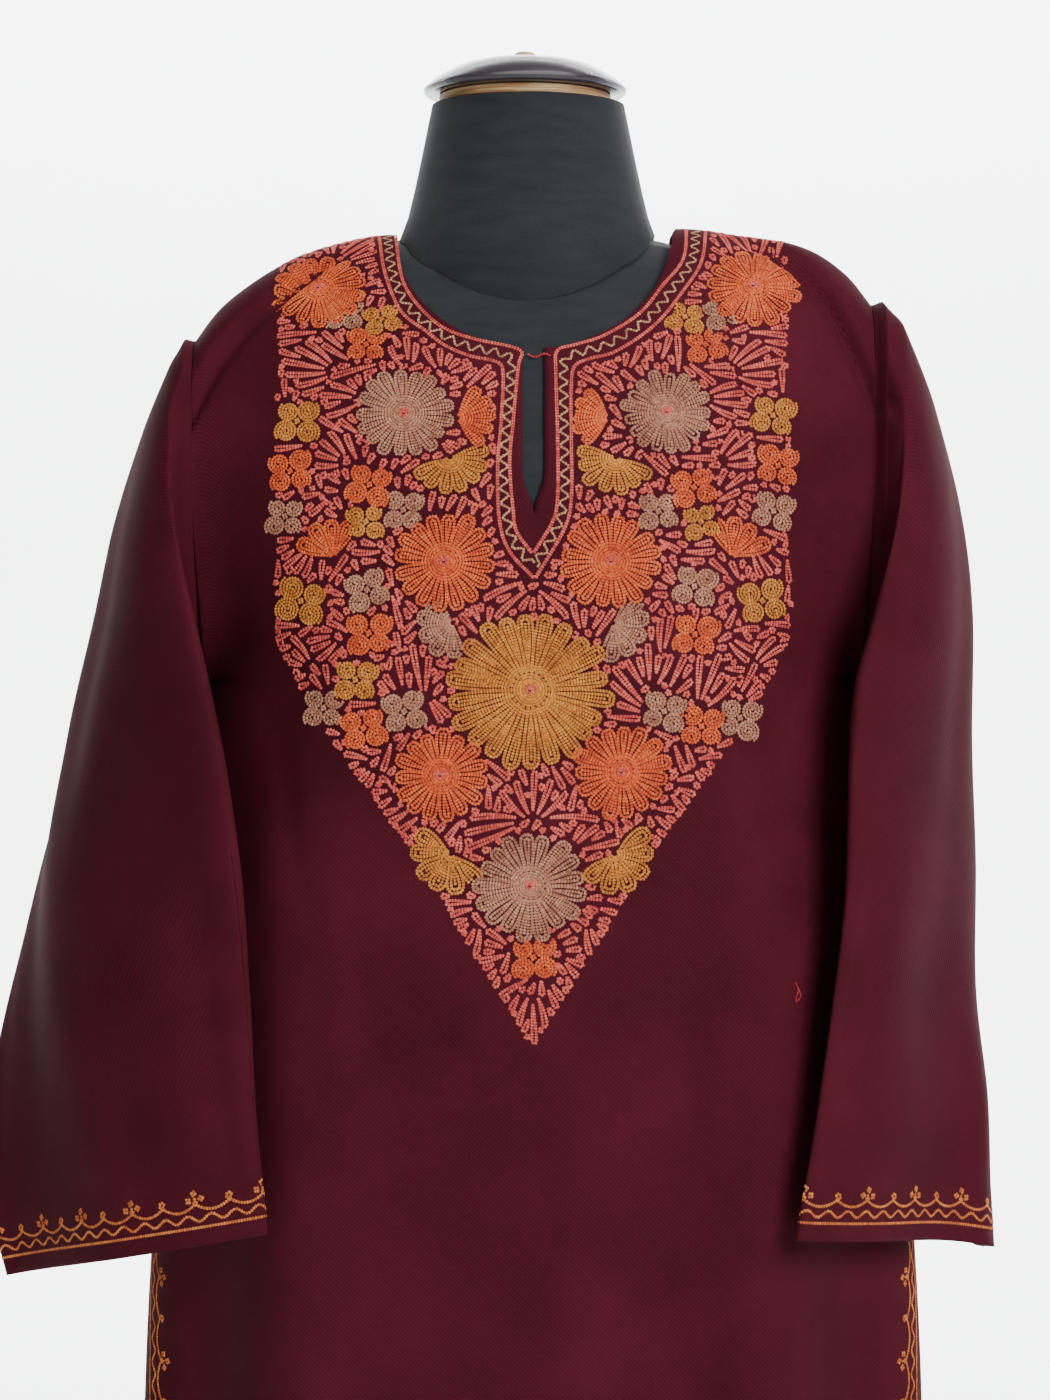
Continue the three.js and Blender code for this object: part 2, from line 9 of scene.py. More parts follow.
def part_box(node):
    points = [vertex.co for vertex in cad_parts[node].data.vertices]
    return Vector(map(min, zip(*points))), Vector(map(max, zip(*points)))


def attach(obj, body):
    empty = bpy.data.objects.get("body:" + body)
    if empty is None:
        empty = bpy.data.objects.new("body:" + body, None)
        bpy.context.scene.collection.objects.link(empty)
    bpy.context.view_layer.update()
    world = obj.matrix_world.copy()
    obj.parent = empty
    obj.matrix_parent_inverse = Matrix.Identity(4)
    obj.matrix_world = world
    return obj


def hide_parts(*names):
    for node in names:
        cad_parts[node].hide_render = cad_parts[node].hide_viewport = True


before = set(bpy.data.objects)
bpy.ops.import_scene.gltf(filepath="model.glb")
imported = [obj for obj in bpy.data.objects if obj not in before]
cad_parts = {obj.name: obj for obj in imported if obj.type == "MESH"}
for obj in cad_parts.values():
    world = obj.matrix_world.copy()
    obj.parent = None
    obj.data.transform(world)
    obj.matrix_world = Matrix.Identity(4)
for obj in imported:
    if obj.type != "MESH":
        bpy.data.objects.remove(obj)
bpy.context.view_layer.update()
mm = 0.001
noise = np.random.default_rng(7)

# Camera: level, in front of the chest, with the photograph's upright frame
view = {"place": (0.0, -2.31, 1.092), "distance": 2.2, "frameHeight": 0.84}

cameraData = bpy.data.cameras.new("camera")
cameraData.sensor_fit = "VERTICAL"
cameraData.sensor_height = 24
cameraData.lens = 24 * view["distance"] / view["frameHeight"]
camera = bpy.data.objects.new("camera", cameraData)
camera.location = view["place"]
camera.rotation_euler = (math.radians(90), 0, 0)
bpy.context.collection.objects.link(camera)
bpy.context.scene.camera = camera
print("camera placed")


# Node materials
def newMaterial(name, settings):
    material = bpy.data.materials.new(name)
    material.use_nodes = True
    shader = material.node_tree.nodes["Principled BSDF"]
    for socket, value in settings.items():
        shader.inputs[socket].default_value = value
    return material, material.node_tree, shader


def addNode(tree, kind, values=None, **properties):
    node = tree.nodes.new(kind)
    for key, value in properties.items():
        setattr(node, key, value)
    for key, value in (values or {}).items():
        node.inputs[key].default_value = value
    return node


def colour(red, green, blue):  # screen values from 0 to 255 to linear light
    return tuple((c / 255) ** 2.2 for c in (red, green, blue)) + (1,)


def ramp(tree, stops):
    node = tree.nodes.new("ShaderNodeValToRGB")
    elements = node.color_ramp.elements
    while len(elements) < len(stops):
        elements.new(0.5)
    for element, (place, value) in zip(elements, stops):
        element.position = place
        element.color = value
    return node


def mixOf(tree, share, one, other):
    node = addNode(tree, "ShaderNodeMix", {0: share}, data_type="FLOAT")
    tree.links.new(one, node.inputs[2])
    tree.links.new(other, node.inputs[3])
    return node.outputs[0]


def grainOf(tree, source, values):
    node = addNode(tree, "ShaderNodeTexNoise", values)
    tree.links.new(source, node.inputs["Vector"])
    return node.outputs["Fac"]


def paint(tree, shader, factor, stops):
    tones = ramp(tree, stops)
    tree.links.new(factor, tones.inputs["Fac"])
    tree.links.new(tones.outputs["Color"], shader.inputs["Base Color"])


def joinBump(tree, shader, heights, distance):
    # heights is a list of sockets with how much each counts
    total = None
    for socket, weight in heights:
        scaled = addNode(tree, "ShaderNodeMath", {1: weight}, operation="MULTIPLY")
        tree.links.new(socket, scaled.inputs[0])
        if total is None:
            total = scaled.outputs[0]
            continue
        both = addNode(tree, "ShaderNodeMath", operation="ADD")
        tree.links.new(total, both.inputs[0])
        tree.links.new(scaled.outputs[0], both.inputs[1])
        total = both.outputs[0]
    bump = addNode(tree, "ShaderNodeBump", {"Strength": 1.0, "Distance": distance})
    tree.links.new(total, bump.inputs["Height"])
    tree.links.new(bump.outputs["Normal"], shader.inputs["Normal"])


wool = {
    "dark": colour(43, 11, 19),
    "middle": colour(63, 19, 29),
    "light": colour(81, 28, 41),
    "twill": 0.95 * mm,  # from one diagonal rib to the next
    "bump": 0.1 * mm,
}


def woolMaterial(name, settings):
    # Twill with diagonal ribs across the piece's own map, in metres, and a short uneven nap
    material, tree, shader = newMaterial(name, {
        "Roughness": 0.84, "Sheen Weight": 0.03, "Sheen Roughness": 0.35,
        "Sheen Tint": colour(196, 96, 118), "Specular IOR Level": 0.08,
    })
    uv = addNode(tree, "ShaderNodeUVMap", uv_map="cloth")
    place = addNode(tree, "ShaderNodeTexCoord").outputs["Object"]
    ribs = addNode(tree, "ShaderNodeTexWave", {
        "Scale": math.pi / 10 / settings["twill"] / math.sqrt(2), "Distortion": 0.6, "Detail": 2.0,
        "Detail Scale": 3.0,
    }, wave_type="BANDS", bands_direction="DIAGONAL")
    tree.links.new(uv.outputs["UV"], ribs.inputs["Vector"])
    nap = grainOf(tree, place, {"Scale": 900, "Detail": 4.0, "Roughness": 0.7})
    patches = grainOf(tree, place, {"Scale": 14, "Detail": 5.0, "Roughness": 0.6})
    tone = mixOf(tree, 0.16, mixOf(tree, 0.55, nap, patches), ribs.outputs["Fac"])
    paint(tree, shader, tone,
          [(0.25, settings["dark"]), (0.52, settings["middle"]), (0.85, settings["light"])])
    joinBump(tree, shader, [(ribs.outputs["Fac"], 0.8), (nap, 0.7)], settings["bump"])
    return material


clothMaterial = woolMaterial("wine_wool_twill", wool)


# Garment, in millimetres, with the same sections as its solids
garment = {
    "hem": 310, "slitTop": 792, "underarm": 1105, "armholeTop": 1342, "shift": 5,
    "neckHalfWidth": 84, "neckHeight": 1384, "frontNeckDrop": 78, "backNeckDrop": 42,
    "slitHalfWidth": 6.5, "slitShoulder": 1228, "slitTip": 1204,
    "armholeFront": 50, "armholeBack": 46, "thickness": 1.6, "squareness": 2.7, "edgeReach": 6,
    "underarmReach": 32, "reachFade": 8,
    # how much further the folds and creases of the finished cloth stand out than on the solids
    "foldGain": 1.35, "creaseGain": 1.8, "sleeveGain": 1.5, "overForm": 0.3, "formHalfWidth": 110,
}


def tableOf(names, rows):
    values = np.array(rows, float)
    return {name: values[:, k] for k, name in enumerate(names.split())}


bodySections = tableOf("at width front back frontEdge backEdge flatness", [
    (310, 240, 130, 112, 36, 30, 0.9),
    (500, 238, 126, 108, 27, 24, 0.8),
    (680, 235, 122, 105, 15, 14, 0.55),
    (792, 230, 120, 103, 0, 0, 0.3),
    (950, 217, 119, 102, 0, 0, 0.35),
    (1105, 201, 119, 101, 0, 0, 0.75),
    (1200, 203, 119, 101, 0, 0, 1),
    (1342, 206, 119, 101, 0, 0, 1),
])
shoulderLine = tableOf("at height", [
    (-206, 1304), (-186, 1331), (-164, 1350), (-138, 1364), (-108, 1376), (-78, 1384), (5, 1388),
    (90, 1386), (120, 1382), (150, 1375), (178, 1365), (198, 1351), (212, 1334),
])

foldNames = "xTop xHem start full spread rise"
frontFolds = tableOf(foldNames, [
    (-152, -146, 1120, 880, 36, 11), (-196, -190, 1080, 860, 24, -9), (148, 136, 1090, 860, 34, 11),
    (196, 182, 1080, 860, 26, -9), (74, 62, 930, 700, 32, -6), (-60, -78, 640, 420, 34, -6),
    (-8, -2, 700, 460, 40, 5),
])
backFolds = tableOf(foldNames, [
    (-140, -150, 1150, 850, 36, 11), (-82, -92, 1100, 800, 30, -8), (0, 8, 1130, 800, 44, 8),
    (84, 96, 1100, 800, 30, -9), (146, 156, 1150, 850, 34, 10),
])

# Soft creases: from one point to another (x, z), half width and how far it stands out
creaseNames = "x0 z0 x1 z1 spread rise"
frontCreases = tableOf(creaseNames, [
    (-150, 1125, -128, 930, 10, -2.2), (-118, 1010, -96, 780, 13, 1.6), (-172, 1010, -150, 930, 8, -1.8),
    (-128, 965, -60, 948, 7, -0.9), (30, 905, 92, 880, 7, -0.9), (146, 1140, 152, 980, 9, -2.0),
    (120, 980, 104, 760, 14, 1.8), (166, 1000, 150, 900, 9, -2.2), (28, 880, 20, 640, 16, 1.6),
    (-34, 900, -48, 690, 18, -1.5), (96, 760, 110, 560, 15, -2.2), (-100, 700, -116, 480, 14, -2.4),
    (20, 520, 24, 330, 18, -2.6), (150, 640, 146, 400, 14, 2.6), (-164, 620, -168, 400, 14, 2.4),
    (-20, 610, -30, 360, 20, 2.0), (-186, 1190, -168, 1110, 9, -2.0), (182, 1200, 176, 1110, 9, -2.0),
    (60, 700, 84, 690, 9, -0.8), (-84, 812, -36, 800, 8, -0.8),
])
backCreases = tableOf(creaseNames, [
    (-170, 1150, -120, 1020, 11, -2.4), (172, 1150, 124, 1020, 11, -2.4), (-60, 1250, 60, 1244, 16, -1.2),
    (-110, 900, -118, 640, 16, 2.2), (40, 980, 50, 700, 18, -2.2), (118, 880, 128, 600, 16, 2.4),
    (-44, 860, -50, 600, 18, 1.8), (-150, 620, -160, 380, 15, -2.6), (150, 620, 160, 380, 15, -2.6),
    (0, 560, 6, 330, 20, 2.4), (-90, 1190, -30, 1150, 12, 1.0), (80, 1180, 30, 1140, 12, 1.0),
])


def readTable(table, column, at):
    # One column at any place, on a smooth curve through the rows
    places = table["at"]
    values = table[column]
    at = np.asarray(at, float)
    last = len(places) - 1
    low = np.clip(np.searchsorted(places, at, side="left") - 1, 0, last - 1)
    before = np.maximum(np.arange(last + 1) - 1, 0)
    after = np.minimum(np.arange(last + 1) + 1, last)
    slopes = (values[after] - values[before]) / (places[after] - places[before])
    span = places[low + 1] - places[low]
    t = np.clip((at - places[low]) / span, 0, 1)
    ease = t * t * (3 - 2 * t)
    curved = slopes[low] * t * (1 - t) ** 2 - slopes[low + 1] * t * t * (1 - t)
    return values[low] + (values[low + 1] - values[low]) * ease + span * curved


def smoothStep(value, low, high):
    t = np.clip((value - low) / (high - low), 0, 1)
    return t * t * (3 - 2 * t)


def foldRise(folds, x, z):
    rise = np.zeros(np.broadcast(x, z).shape)
    for k in range(len(folds["xTop"])):
        fold = {name: folds[name][k] for name in folds}
        down = np.clip((fold["start"] - z) / (fold["start"] - garment["hem"]), 0, 1)
        centre = fold["xTop"] + (fold["xHem"] - fold["xTop"]) * down + garment["shift"]
        strength = smoothStep(fold["start"] - z, 0, fold["start"] - fold["full"])
        rise = rise + fold["rise"] * strength * np.exp(-(((x - centre) / fold["spread"]) ** 2))
    return rise


def creaseRise(creases, x, z):
    rise = np.zeros(np.broadcast(x, z).shape)
    for k in range(len(creases["x0"])):
        x0, z0, x1, z1, spread, height = [creases[name][k] for name in creaseNames.split()]
        length = math.hypot(x1 - x0, z1 - z0)
        ux, uz = (x1 - x0) / length, (z1 - z0) / length
        along = ((x - x0) * ux + (z - z0) * uz) / length
        off = (x - x0) * uz - (z - z0) * ux
        ends = np.clip(np.sin(np.pi * np.clip(along, 0, 1)), 0, 1) ** 0.8
        wander = 1 + 0.3 * np.sin(along * 9 + k)
        rise = rise + height * ends * np.exp(-((off / (spread * wander)) ** 2))
    return rise


# Folds where the cloth turns over towards the sleeve: lines seen from the front (x, z), the side that
# stands out and by how much, and how deep the crease along them is
shoulderFolds = [
    {"line": [(-88, 1378), (-124, 1361), (-145, 1344), (-170, 1322), (-188, 1298), (-206, 1262)],
     "outside": -1, "rise": 5.0, "crease": -5.5},
    {"line": [(118, 1382), (150, 1371), (165, 1360), (182, 1340), (195, 1316), (212, 1276)],
     "outside": 1, "rise": 5.5, "crease": -7},
]
shoulderLift = {"height": 3.8, "leftEnd": (-192, 1.5, 16), "rightEnd": (186, 1.0, 20)}
clothWidth = 1.03


def shoulderRise(x, z):
    # Cloth beyond a fold line stands out with a steep inner face, with a crease along its foot
    rise = np.zeros(np.broadcast(x, z).shape)
    for fold in shoulderFolds:
        line = np.array(fold["line"], float)
        nearest = np.full(rise.shape, 1e9)
        signed = np.zeros(rise.shape)
        along = np.zeros(rise.shape)
        for k in range(len(line) - 1):
            a, b = line[k], line[k + 1]
            span = b - a
            t = np.clip(((x - a[0]) * span[0] + (z - a[1]) * span[1]) / (span @ span), 0, 1)
            dx, dz = x - a[0] - t * span[0], z - a[1] - t * span[1]
            apart = np.hypot(dx, dz)
            outside = np.sign(dx * -span[1] + dz * span[0]) * fold["outside"]
            closer = apart < nearest
            nearest = np.where(closer, apart, nearest)
            signed = np.where(closer, apart * outside, signed)
            along = np.where(closer, (k + t) / (len(line) - 1), along)
        fade = smoothStep(along, 0, 0.3)
        near = np.exp(-(((signed - 7) / 16) ** 2))
        lip = smoothStep(signed, -2.5, 4) * near * fold["rise"]
        crease = np.exp(-(((signed + 4) / 3.2) ** 2)) * fold["crease"]
        rise = rise + (lip + crease) * fade
    return rise


def settled(side, x, out, z, share):
    # Body cloth as it lies: lifted along the shoulder, folded over in front of it, and to its full width
    lift = shoulderLift["height"] * smoothStep(np.abs(x), 60, 110)
    for centre, height, spread in (shoulderLift["leftEnd"], shoulderLift["rightEnd"]):
        lift = lift + height * np.exp(-(((x - centre) / spread) ** 2))
    lift = lift * smoothStep(z, 1160, 1325)
    rise = shoulderRise(x, z) * (1 if side < 0 else smoothStep(share, 0.8, 1))
    out = out + (0.6 * rise * np.clip(14 * (1 - share), 0, 1) if side < 0 else 0)
    return np.stack(np.broadcast_arrays(x * clothWidth, side * out, z + lift + 0.75 * rise), axis=-1)


def bodyPoint(side, z, share, across):
    # A point of the body's cloth, outer face: side -1 is the front; share is how far up the armhole
    g = garment
    front = side < 0
    level = z + (g["armholeTop"] - g["underarm"]) * share
    x = g["shift"] + across * readTable(bodySections, "width", level)
    height = z + (readTable(shoulderLine, "height", x) - z) * share
    reach = g["armholeFront"] if front else g["armholeBack"]
    armhole = reach * 2 * np.sqrt(np.maximum(share * (1 - share), 0))
    slit = np.maximum(readTable(bodySections, "frontEdge" if front else "backEdge", z), 0)
    edge = np.where(share > 0, armhole, np.where(z >= g["slitTop"], 0, slit))
    depth = readTable(bodySections, "front" if front else "back", np.minimum(z, g["underarm"]))
    tuck = np.sqrt(np.maximum(1 - share ** 2, 0))
    a = np.minimum(np.abs(across), 1)
    rounded = (1 - a ** g["squareness"]) ** (1 / g["squareness"])
    opened = 1 - a ** 3
    shape = rounded + (opened - rounded) * readTable(bodySections, "flatness", level)
    fade = np.minimum(1, 4 * (1 - a) + np.where((edge > 0) & (share <= 0), 0.4, 0))
    rise = foldRise(frontFolds if front else backFolds, x, height)
    crease = creaseRise(frontCreases if front else backCreases, x, height)
    # troughs stay shallow where the cloth lies close over the form
    below = smoothStep(height, 700, 640)
    overForm = np.where(np.abs(x) < g["formHalfWidth"], g["overForm"], 1.0)
    rise = np.where(rise > 0, g["foldGain"], 1 + (g["foldGain"] - 1) * below) * rise
    gain = np.where(crease > 0, g["creaseGain"], overForm + (g["creaseGain"] - overForm) * below)
    rise = rise + gain * crease
    foot = np.where(share > 0, (g["underarmReach"] - g["edgeReach"]) * (1 - share) ** g["reachFade"], 0)
    out = depth * tuck * shape + edge * a ** (g["edgeReach"] + foot) + rise * fade * tuck + 0.15
    return settled(side, x, out, height, share)


def finishPiece(piece, material):
    piece.data.materials.clear()
    piece.data.materials.append(material)
    piece.data.polygons.foreach_set("use_smooth", [True] * len(piece.data.polygons))
    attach(piece, "root")


def objectFrom(bm, name):
    mesh = bpy.data.meshes.new(name)
    bm.to_mesh(mesh)
    bm.free()
    piece = bpy.data.objects.new(name, mesh)
    bpy.context.collection.objects.link(piece)
    return piece


def clothPiece(bm, name, node, doubles):
    # A finished piece of cloth from its outer face, with its thickness inwards
    bmesh.ops.remove_doubles(bm, verts=bm.verts, dist=doubles * mm)
    piece = objectFrom(bm, name)
    finishPiece(piece, clothMaterial)
    wall = piece.modifiers.new("thickness", "SOLIDIFY")
    wall.thickness = garment["thickness"] * mm
    wall.offset = -1
    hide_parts(node)
    return piece


def mappedGrid(bm, columns, rows, shapeOf, flip):
    # A flat grid, moved point by point onto shapeOf(u, v) with u and v from 0 to 1, and its own map
    made = bmesh.ops.create_grid(bm, x_segments=columns, y_segments=rows, size=1)["verts"]
    flat = np.array([v.co for v in made])
    u, v = (flat[:, 0] + 1) / 2, (flat[:, 1] + 1) / 2
    points, cloth = shapeOf(u, v)
    layer = bm.loops.layers.uv.get("cloth") or bm.loops.layers.uv.new("cloth")
    faces = {face for vert in made for face in vert.link_faces}
    order = {vert: k for k, vert in enumerate(made)}
    for face in faces:
        for loop in face.loops:
            loop[layer].uv = cloth[order[loop.vert]] * mm
    for vert, point in zip(made, points):
        vert.co = point * mm
    if flip:
        bmesh.ops.reverse_faces(bm, faces=list(faces))


panel = {
    "columns": 62, "skirtRows": 118, "upperRows": 64, "neckColumns": 0.46,
    "shoulderHalf": 206, "chestHalf": 204, "slitSide": 24, "chestRise": 282,
}


def clothMap(side, z, share, across, steps=14):
    # Lengths along the cloth, from the centre line and from the hem, for its weave
    parts = np.linspace(0, 1, steps)[:, None]
    rising = bodyPoint(side, z, share * parts, across)
    sideways = bodyPoint(side, z, share, across * parts)
    up = np.linalg.norm(np.diff(rising, axis=0), axis=-1).sum(axis=0)
    out = np.linalg.norm(np.diff(sideways, axis=0), axis=-1).sum(axis=0)
    return np.stack([out * np.sign(across), z + up], axis=-1)


def panelShape(side, hand, neckDrop, slit):
    g = garment
    neckAcross = g["neckHalfWidth"] / panel["shoulderHalf"]
    skirtShare = panel["skirtRows"] / (panel["skirtRows"] + panel["upperRows"])

    def shapeOf(u, v):
        inner = neckAcross * np.sin(np.pi / 2 * np.clip(u / panel["neckColumns"], 0, 1))
        beyond = np.clip((u - panel["neckColumns"]) / (1 - panel["neckColumns"]), 0, 1)
        outer = neckAcross + (1 - neckAcross) * np.sin(np.pi / 2 * beyond)
        across = hand * np.where(u < panel["neckColumns"], inner, outer)
        up = np.clip((v - skirtShare) / (1 - skirtShare), 0, 1)
        top = np.ones_like(u)
        for _ in range(6):  # the neck's edge ends a column where its curve crosses it
            level = g["underarm"] + (g["armholeTop"] - g["underarm"]) * top
            x = across * readTable(bodySections, "width", level)
            inside = np.clip(1 - (x / g["neckHalfWidth"]) ** 2, 0, 1)
            neckZ = g["neckHeight"] - neckDrop * np.sqrt(inside)
            reach = readTable(shoulderLine, "height", x + g["shift"]) - g["underarm"]
            top = np.where(inside > 0, np.minimum((neckZ - g["underarm"]) / reach, 1), 1)
        share = top * (1 - np.cos(np.pi * up)) / 2
        z = np.where(up > 0, g["underarm"], g["hem"] + (g["underarm"] - g["hem"]) * v / skirtShare)
        if slit:
            height = z + share * panel["chestRise"]
            opening = g["slitHalfWidth"] * smoothStep(height, g["slitTip"], g["slitShoulder"])
            near = np.clip(1 - np.abs(across) * panel["chestHalf"] / panel["slitSide"], 0, 1)
            across = across + hand * opening * near / panel["chestHalf"]
        return bodyPoint(side, z, share, across), clothMap(side, z, share, across)

    return shapeOf


def makePanel(name, node, side, neckDrop, slit):
    bm = bmesh.new()
    for hand in (-1, 1):
        rows = panel["skirtRows"] + panel["upperRows"]
        mappedGrid(bm, panel["columns"], rows, panelShape(side, hand, neckDrop, slit), hand == side)
    return clothPiece(bm, name, node, 0.02)


def flatArea(piece):
    return sum(face.area for face in piece.data.polygons)


frontPanel = makePanel("front_cloth", "front_panel", -1, garment["frontNeckDrop"], True)
backPanel = makePanel("back_cloth", "back_panel", 1, garment["backNeckDrop"], False)
print("panels", round(flatArea(frontPanel), 3), round(flatArea(backPanel), 3))

# Sleeves: each section's under point (u), outer point (o), front fold (f) and back fold (b)
ringNames = "at ux uy uz ox oy oz fx fy fz bx by bz"
leftSections = tableOf(ringNames, [
    (0, 200, 0, 1101, 213, 0, 1301, 206, -60, 1204, 206, 56, 1204),
    (1, 204, 0, 1092, 234, 0, 1258, 202, -78, 1176, 214, 70, 1176),
    (2, 207, 0, 1080, 251, 0, 1206, 195, -92, 1144, 224, 80, 1144),
    (3, 210, 0, 1064, 263, 0, 1146, 187, -105, 1104, 236, 82, 1108),
    (4, 215, -6, 1034, 280, -8, 1072, 178, -119, 1052, 256, 76, 1056),
    (5, 222, -20, 972, 289, -22, 996, 168, -129, 984, 284, 56, 984),
    (6, 231, -42, 906, 280, -60, 914, 161, -135, 914, 312, 26, 908),
    (7, 232, -68, 846, 262, -98, 844, 156, -139, 850, 326, -6, 838),
    (8, 231, -84, 796, 250, -112, 793, 151, -142, 806, 323, -30, 782),
    (9, 230, -88, 757, 247, -115, 756, 148, -142, 776, 311, -40, 736),
])
rightSections = tableOf(ringNames, [
    (0, 210, 0, 1101, 226, 0, 1326, 219, -62, 1214, 217, 56, 1214),
    (1, 213, 0, 1092, 250, 0, 1276, 215, -80, 1184, 226, 72, 1184),
    (2, 215, 0, 1080, 266, 0, 1218, 207, -92, 1150, 238, 84, 1150),
    (3, 218, 0, 1064, 273, 0, 1150, 197, -104, 1108, 246, 90, 1108),
    (4, 224, -2, 1030, 271, 0, 1068, 192, -112, 1050, 256, 90, 1050),
    (5, 230, -8, 968, 270, -10, 990, 188, -121, 978, 261, 80, 978),
    (6, 236, -20, 900, 262, -34, 908, 178, -129, 908, 263, 62, 904),
    (7, 239, -34, 842, 262, -54, 844, 169, -135, 848, 269, 38, 838),
    (8, 240, -44, 796, 258, -66, 795, 161, -138, 802, 274, 16, 786),
    (9, 240, -48, 762, 257, -69, 760, 156, -139, 772, 277, 4, 748),
])

# Sleeve folds and creases: turn round the section at the top and at the cuff, in degrees from
# the front fold over the outside, the rows where it starts, is full and ends, half width, rise
sleeveFoldNames = "turnTop turnCuff start full end spread rise"
leftFolds = tableOf(sleeveFoldNames, [
    (105, 128, 2.5, 5, 99, 24, -7), (60, 52, 4, 7, 99, 26, 4), (250, 232, 3, 6, 99, 24, -5),
    (40, 66, 0.4, 1.4, 4, 15, 3.0), (74, 96, 0.8, 2.2, 5.5, 11, -3.0), (24, 30, 4.5, 6, 8.6, 9, -2.0),
    (88, 82, 5.5, 7.5, 99, 12, 2.2), (140, 150, 5, 7, 99, 12, -2.4), (300, 320, 2, 4, 8, 14, 2.4),
    (214, 200, 4, 6, 99, 12, 2.2), (200, 214, 0.5, 2, 4.5, 12, -2.6),
])
rightFolds = tableOf(sleeveFoldNames, [
    (66, 84, 3, 6, 99, 24, -6), (120, 134, 4, 7, 99, 24, 4), (238, 252, 3, 6, 99, 24, -5),
    (46, 60, 0.4, 1.4, 4, 14, 3.0), (86, 70, 0.8, 2.2, 5, 12, -3.0), (30, 22, 4, 6, 8.5, 10, -2.2),
    (104, 110, 5.5, 7.5, 99, 11, 2.4), (150, 144, 5, 7, 99, 12, -2.4), (304, 318, 2, 4, 8, 14, 2.2),
    (216, 204, 4, 6, 99, 12, 2.2), (196, 210, 0.5, 2, 4.5, 12, -2.4),
])
sleeveGrid = {
    "round": 112, "down": 120, "mapRound": 640, "mapLong": 540, "lead": 4, "headPuff": 2.2, "leadDrop": 0.6,
}
sleeveWelt = {-1: 6.5, 1: 9.0}


def armholeRing(hand, turn):
    g = garment
    share = (1 + np.sin(turn)) / 2
    level = g["underarm"] + (g["armholeTop"] - g["underarm"]) * share
    x = g["shift"] + hand * readTable(bodySections, "width", level)
    z = g["underarm"] + (readTable(shoulderLine, "height", x) - g["underarm"]) * share
    ahead = settled(-1, x, g["armholeFront"] * np.cos(turn), z, share)
    behind = settled(1, x, -g["armholeBack"] * np.cos(turn), z, share)
    ring = np.where(np.cos(turn)[..., None] >= 0, ahead, behind)
    return ring + np.array([hand * 0.4, 0, 0])


def sleevePoint(sections, folds, hand, row, turn):
    # row -2 is the armhole seam, -1 just outwards of it, and 0 to 9 are the table's rows
    row, turn = np.broadcast_arrays(np.asarray(row, float), np.asarray(turn, float))
    at = np.maximum(row, 0)
    corner = {}
    for key in "uofb":
        parts = [readTable(sections, key + axis, at) for axis in "xyz"]
        corner[key] = np.stack([hand * parts[0], parts[1], parts[2]], axis=-1)
    middle = (corner["f"] + corner["b"]) / 2
    halfLong = (corner["f"] - corner["b"]) / 2
    halfDeep = (corner["o"] - corner["u"]) / 2
    bow = (corner["o"] + corner["u"]) / 2 - middle
    c, s = np.cos(turn)[..., None], np.sin(turn)[..., None]
    rise = np.zeros(at.shape)
    degrees = np.degrees(turn) % 360
    for k in range(len(folds["turnTop"])):
        fold = {name: folds[name][k] for name in folds}
        centre = fold["turnTop"] + (fold["turnCuff"] - fold["turnTop"]) * at / 9
        strength = smoothStep(at, fold["start"], fold["full"])
        strength = strength * (1 - smoothStep(at, fold["end"] - 1.6, fold["end"]))
        off = (degrees - centre + 180) % 360 - 180
        rise = rise + garment["sleeveGain"] * fold["rise"] * strength * np.exp(-((off / fold["spread"]) ** 2))
    deep = halfDeep / np.linalg.norm(halfDeep, axis=-1, keepdims=True)
    points = middle + halfLong * c + halfDeep * s + bow * s * s + deep * (rise[..., None] * np.sign(s))
    puff = np.exp(-(((row - 0.1) / 0.9) ** 2)) * np.clip(np.sin(turn), 0, 1) * sleeveGrid["headPuff"]
    points = points * np.array([clothWidth, 1, 1]) + puff[..., None] * np.array([hand * 0.5, 0, 0.85])
    seam = armholeRing(hand, turn)
    drop = sleeveGrid["leadDrop"] * np.clip(np.sin(turn), 0, 1)
    lead = seam + np.stack([0 * drop + hand * sleeveGrid["lead"], 0 * drop, -drop], axis=-1)
    leaving = np.clip(row + 2, 0, 1)[..., None]
    joining = np.clip(row + 1, 0, 1)[..., None]
    start = seam + (lead - seam) * leaving
    points = np.where(row[..., None] < 0, start + (points - start) * joining, points)
    # the sleeve's front stands out along the seam, with a steep side towards the body
    welt = sleeveWelt[hand] * smoothStep(row, -1.97, -1.0) * (1 - smoothStep(row, -0.4, 1.8))
    welt = welt * smoothStep(np.cos(turn), -0.1, 0.45) * smoothStep(np.sin(turn), -0.9, 0)
    way = np.stack([hand * 0.35 + 0 * turn, -0.9 * np.cos(turn) - 0.1, 0.7 * np.sin(turn)], axis=-1)
    return points + welt[..., None] * way


def makeSleeve(name, node, sections, folds, hand):
    bm = bmesh.new()

    def shapeOf(u, v):
        points = sleevePoint(sections, folds, hand, 9 - v * 11, u * 2 * np.pi)
        return points, np.stack([u * sleeveGrid["mapRound"], v * sleeveGrid["mapLong"]], axis=-1)

    mappedGrid(bm, sleeveGrid["round"], sleeveGrid["down"], shapeOf, hand < 0)
    return clothPiece(bm, name, node, 0.01)


leftSleeve = makeSleeve("left_sleeve_cloth", "sleeve_left", leftSections, leftFolds, -1)
rightSleeve = makeSleeve("right_sleeve_cloth", "sleeve_right", rightSections, rightFolds, 1)
print("sleeves", round(flatArea(leftSleeve), 3), round(flatArea(rightSleeve), 3))

# Embroidery: rows of chain stitch laid on the cloth, each a chain of small two-strand links
stitch = {"pitch": 1.75, "width": 2.1, "height": 0.42}

